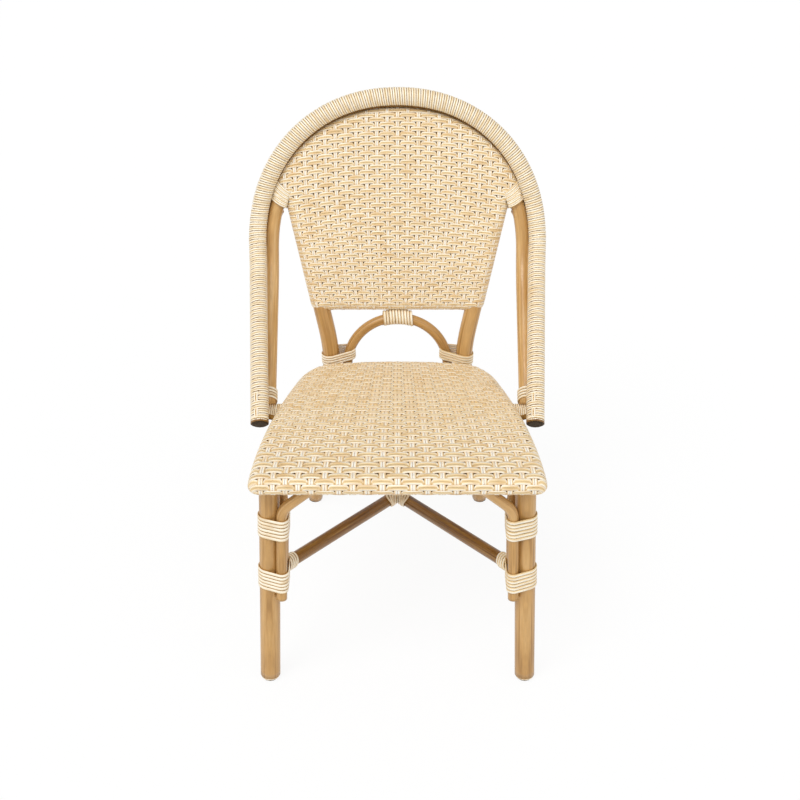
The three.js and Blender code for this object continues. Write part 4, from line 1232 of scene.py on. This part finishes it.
# Down the legs every second turn is pinched on both sides of a hidden runner, which gives rows of dots
runner_turn = math.radians(18)
runner_half = math.radians(18)
dot_half = math.radians(7)
beside_runner = np.angle(np.exp(1j * (wrap_angle - np.sign(from_top) * runner_turn)))
at_dot = np.exp(-((np.abs(beside_runner) - runner_half) / dot_half) ** 2)
dotted = smooth_step(np.abs(from_top), 300, 420) * (np.rint(turn_number) % 2)
pinch = 1 - 0.32 * at_dot * dotted
hoop_wrap = Bundle("outer_hoop_wrap_strands", cane_sides)
for side in (-1, 1):
    path, facing = around_hoop(wrap_lengths + side * wrap_wide / 2 * pinch, wrap_angle, wrap_middle)
    hoop_wrap.add(path, facing, wrap_wide * pinch, wrap_thick, side=side)
hoop_wrap.finish(wrap_cane, "woven_cane", ["outer_hoop_wrapping"])

# Two stretches near each end where a lengthwise pair of strands comes out over the wrapping
hoop_runner = Bundle("outer_hoop_runner_strands", cane_sides)
runner_stretches = ((8, 23), (35, 51))
runner_points = 11
rise = np.sin(np.linspace(0, math.pi, runner_points)) ** 0.5
for sign in (-1, 1):
    for first, last in runner_stretches:
        lengths = hoop_total / 2 + sign * (hoop_total / 2 - np.linspace(first, last, runner_points))
        for side in (-1, 1):
            angle = np.full(runner_points, sign * runner_turn) + side * 1.8 / wrap_middle
            path, facing = around_hoop(lengths, angle, wrap_middle - 0.6 + 1.9 * rise)
            hoop_runner.add(path, facing, width=3.4, thickness=1.2, side=side * sign)
hoop_runner.finish(warp_cane, "woven_cane")

# The hoop's cut ends: a thin bare rim past the wrapping, and the dark face
for side, end, before in (("right", hoop_path[-1], hoop_path[-2]), ("left", hoop_path[0], hoop_path[1])):
    end_way = unit(end - before)
    for part, first, last, radius, finish in (
        ("rim", -5, 0, wrapped_radius - 0.6, umber),
        ("face", -1, 0.8, wrapped_radius - 1.6, cap_brown),
    ):
        piece = Bundle(f"outer_hoop_end_{part}_{side}", pole_sides)
        path = end + end_way * np.array([[first], [last]])
        piece.add(path, untwisted(path, vec(1, 0, 0)), 2 * radius, 2 * radius, edge=1)
        piece.finish(finish, "pole")

# A thin cane that closes the valley between the two hoops; its dark brown is painted shade for the shadowed
# gap there
seam_top = hoop_top + lean_down * 16.1 + lean_normal * 9
seam_path = whole(hoop_half(
    seam_top, half=237.5, rise=244, power=2.13, foot_half=240, straight=400, bend=20, length=225))
seam_cane = Bundle("hoop_seam_cane", 8)
seam_cane.add(seam_path, np.broadcast_to(lean_front, seam_path.shape), width=5.0, thickness=9.0)
seam_cane.finish(seam_painted_shade, "woven_cane")

# Thin cane round the pegs
peg_turns = 9
turn = np.linspace(0, peg_turns, peg_turns * 16 + 1)
span = peg_path[1] - peg_path[0]
wound_length = np.linalg.norm(span) - 15
middle = peg_path[0] + unit(span) * (12 + turn / peg_turns * wound_length)[:, None]
facing = joined(0, np.cos(turn * 2 * math.pi), np.sin(turn * 2 * math.pi))
for side, flip in both_sides:
    peg_wrap = Bundle(f"hoop_peg_{side}_wrap", cane_sides)
    peg_wrap.add((middle + facing * (peg_radius + 0.7)) * flip, facing * flip, width=3.1, thickness=1.2)
    peg_wrap.finish(wrap_cane, "binding_cane")

# A ring of cane at each foot
ring_height = 5.3
ring_thick = 2.2
for end, leg_at, radius in (("front", front_leg_at, 16.2), ("rear", rear_leg_at, 14.2)):
    ring_place = (leg_at(ring_height), vec(0, 0, 1), vec(-1, 0, 0), vec(0, 1, 0))
    for side, flip in both_sides:
        wind(f"{end}_foot_ring_{side}", f"{end}_foot_collar_{side}", ring_place,
             [(0, 0, radius - ring_thick)], turns=1, width=2.8, pitch=0.1, thickness=ring_thick, margin=0,
             flip=flip)

# CAD nodes that show as they are get their finish here
for node_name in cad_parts:
    node = bpy.data.objects.get(node_name)
    for word, finish in (("glide", glide_brown), ("end_cap", cap_brown), ("dowel", peg_brown)):
        if word in node_name and node is not None and node.type == "MESH":
            for slot in node.material_slots:
                slot.material = finish

# Floor: pale, with a glow that only the camera and glossy surfaces see, so that it meets the background
floor_bm = bmesh.new()
bmesh.ops.create_grid(floor_bm, x_segments=1, y_segments=1, size=12)
floor = add_object("floor", new_mesh("floor", floor_bm))
floor_material, floor_tree, floor_shader = new_material("pale_floor")
fill(floor_shader, {"Base Color": (0.95, 0.95, 0.95, 1), "Roughness": 0.9, "Specular IOR Level": 0.0})
glow = add_node(floor_tree, "ShaderNodeEmission", {"Color": (1, 1, 1, 1), "Strength": 1.0})
glow_share = 0.9
floor_rays = add_node(floor_tree, "ShaderNodeLightPath").outputs
seen = add_math(floor_tree, "MAXIMUM", floor_rays["Is Camera Ray"], floor_rays["Is Glossy Ray"])
blend = add_node(floor_tree, "ShaderNodeMixShader", {
    0: add_math(floor_tree, "MULTIPLY", seen, glow_share),
    1: floor_shader.outputs[0],
    2: glow.outputs[0],
})
fill(floor_tree.nodes["Material Output"], {"Surface": blend.outputs[0]})
floor.data.materials.append(floor_material)

# Light: a pale world and two wide soft suns, which light floor and chair evenly
world = bpy.data.worlds.new("studio")
world.use_nodes = True
bpy.context.scene.world = world
sky = world.node_tree
sky_rays = add_node(sky, "ShaderNodeLightPath").outputs
sky_strength = map_range(sky, sky_rays["Is Camera Ray"], low=0.0, high=1.0, to_low=0.64, to_high=1.0)
fill(sky.nodes["Background"], {"Color": (1, 1, 1, 1), "Strength": sky_strength})


def add_sun(name, turn, height, spread, energy):
    """A sun seen at a turn from the front, towards the right, and at a height, both in degrees."""
    data = bpy.data.lights.new(name, "SUN")
    data.angle = math.radians(spread)
    data.energy = energy
    add_object(name, data).rotation_euler = (math.radians(90 - height), 0, math.radians(turn))


add_sun("key", turn=-38, height=55, spread=32, energy=1.4)
add_sun("fill", turn=42, height=40, spread=50, energy=0.4)
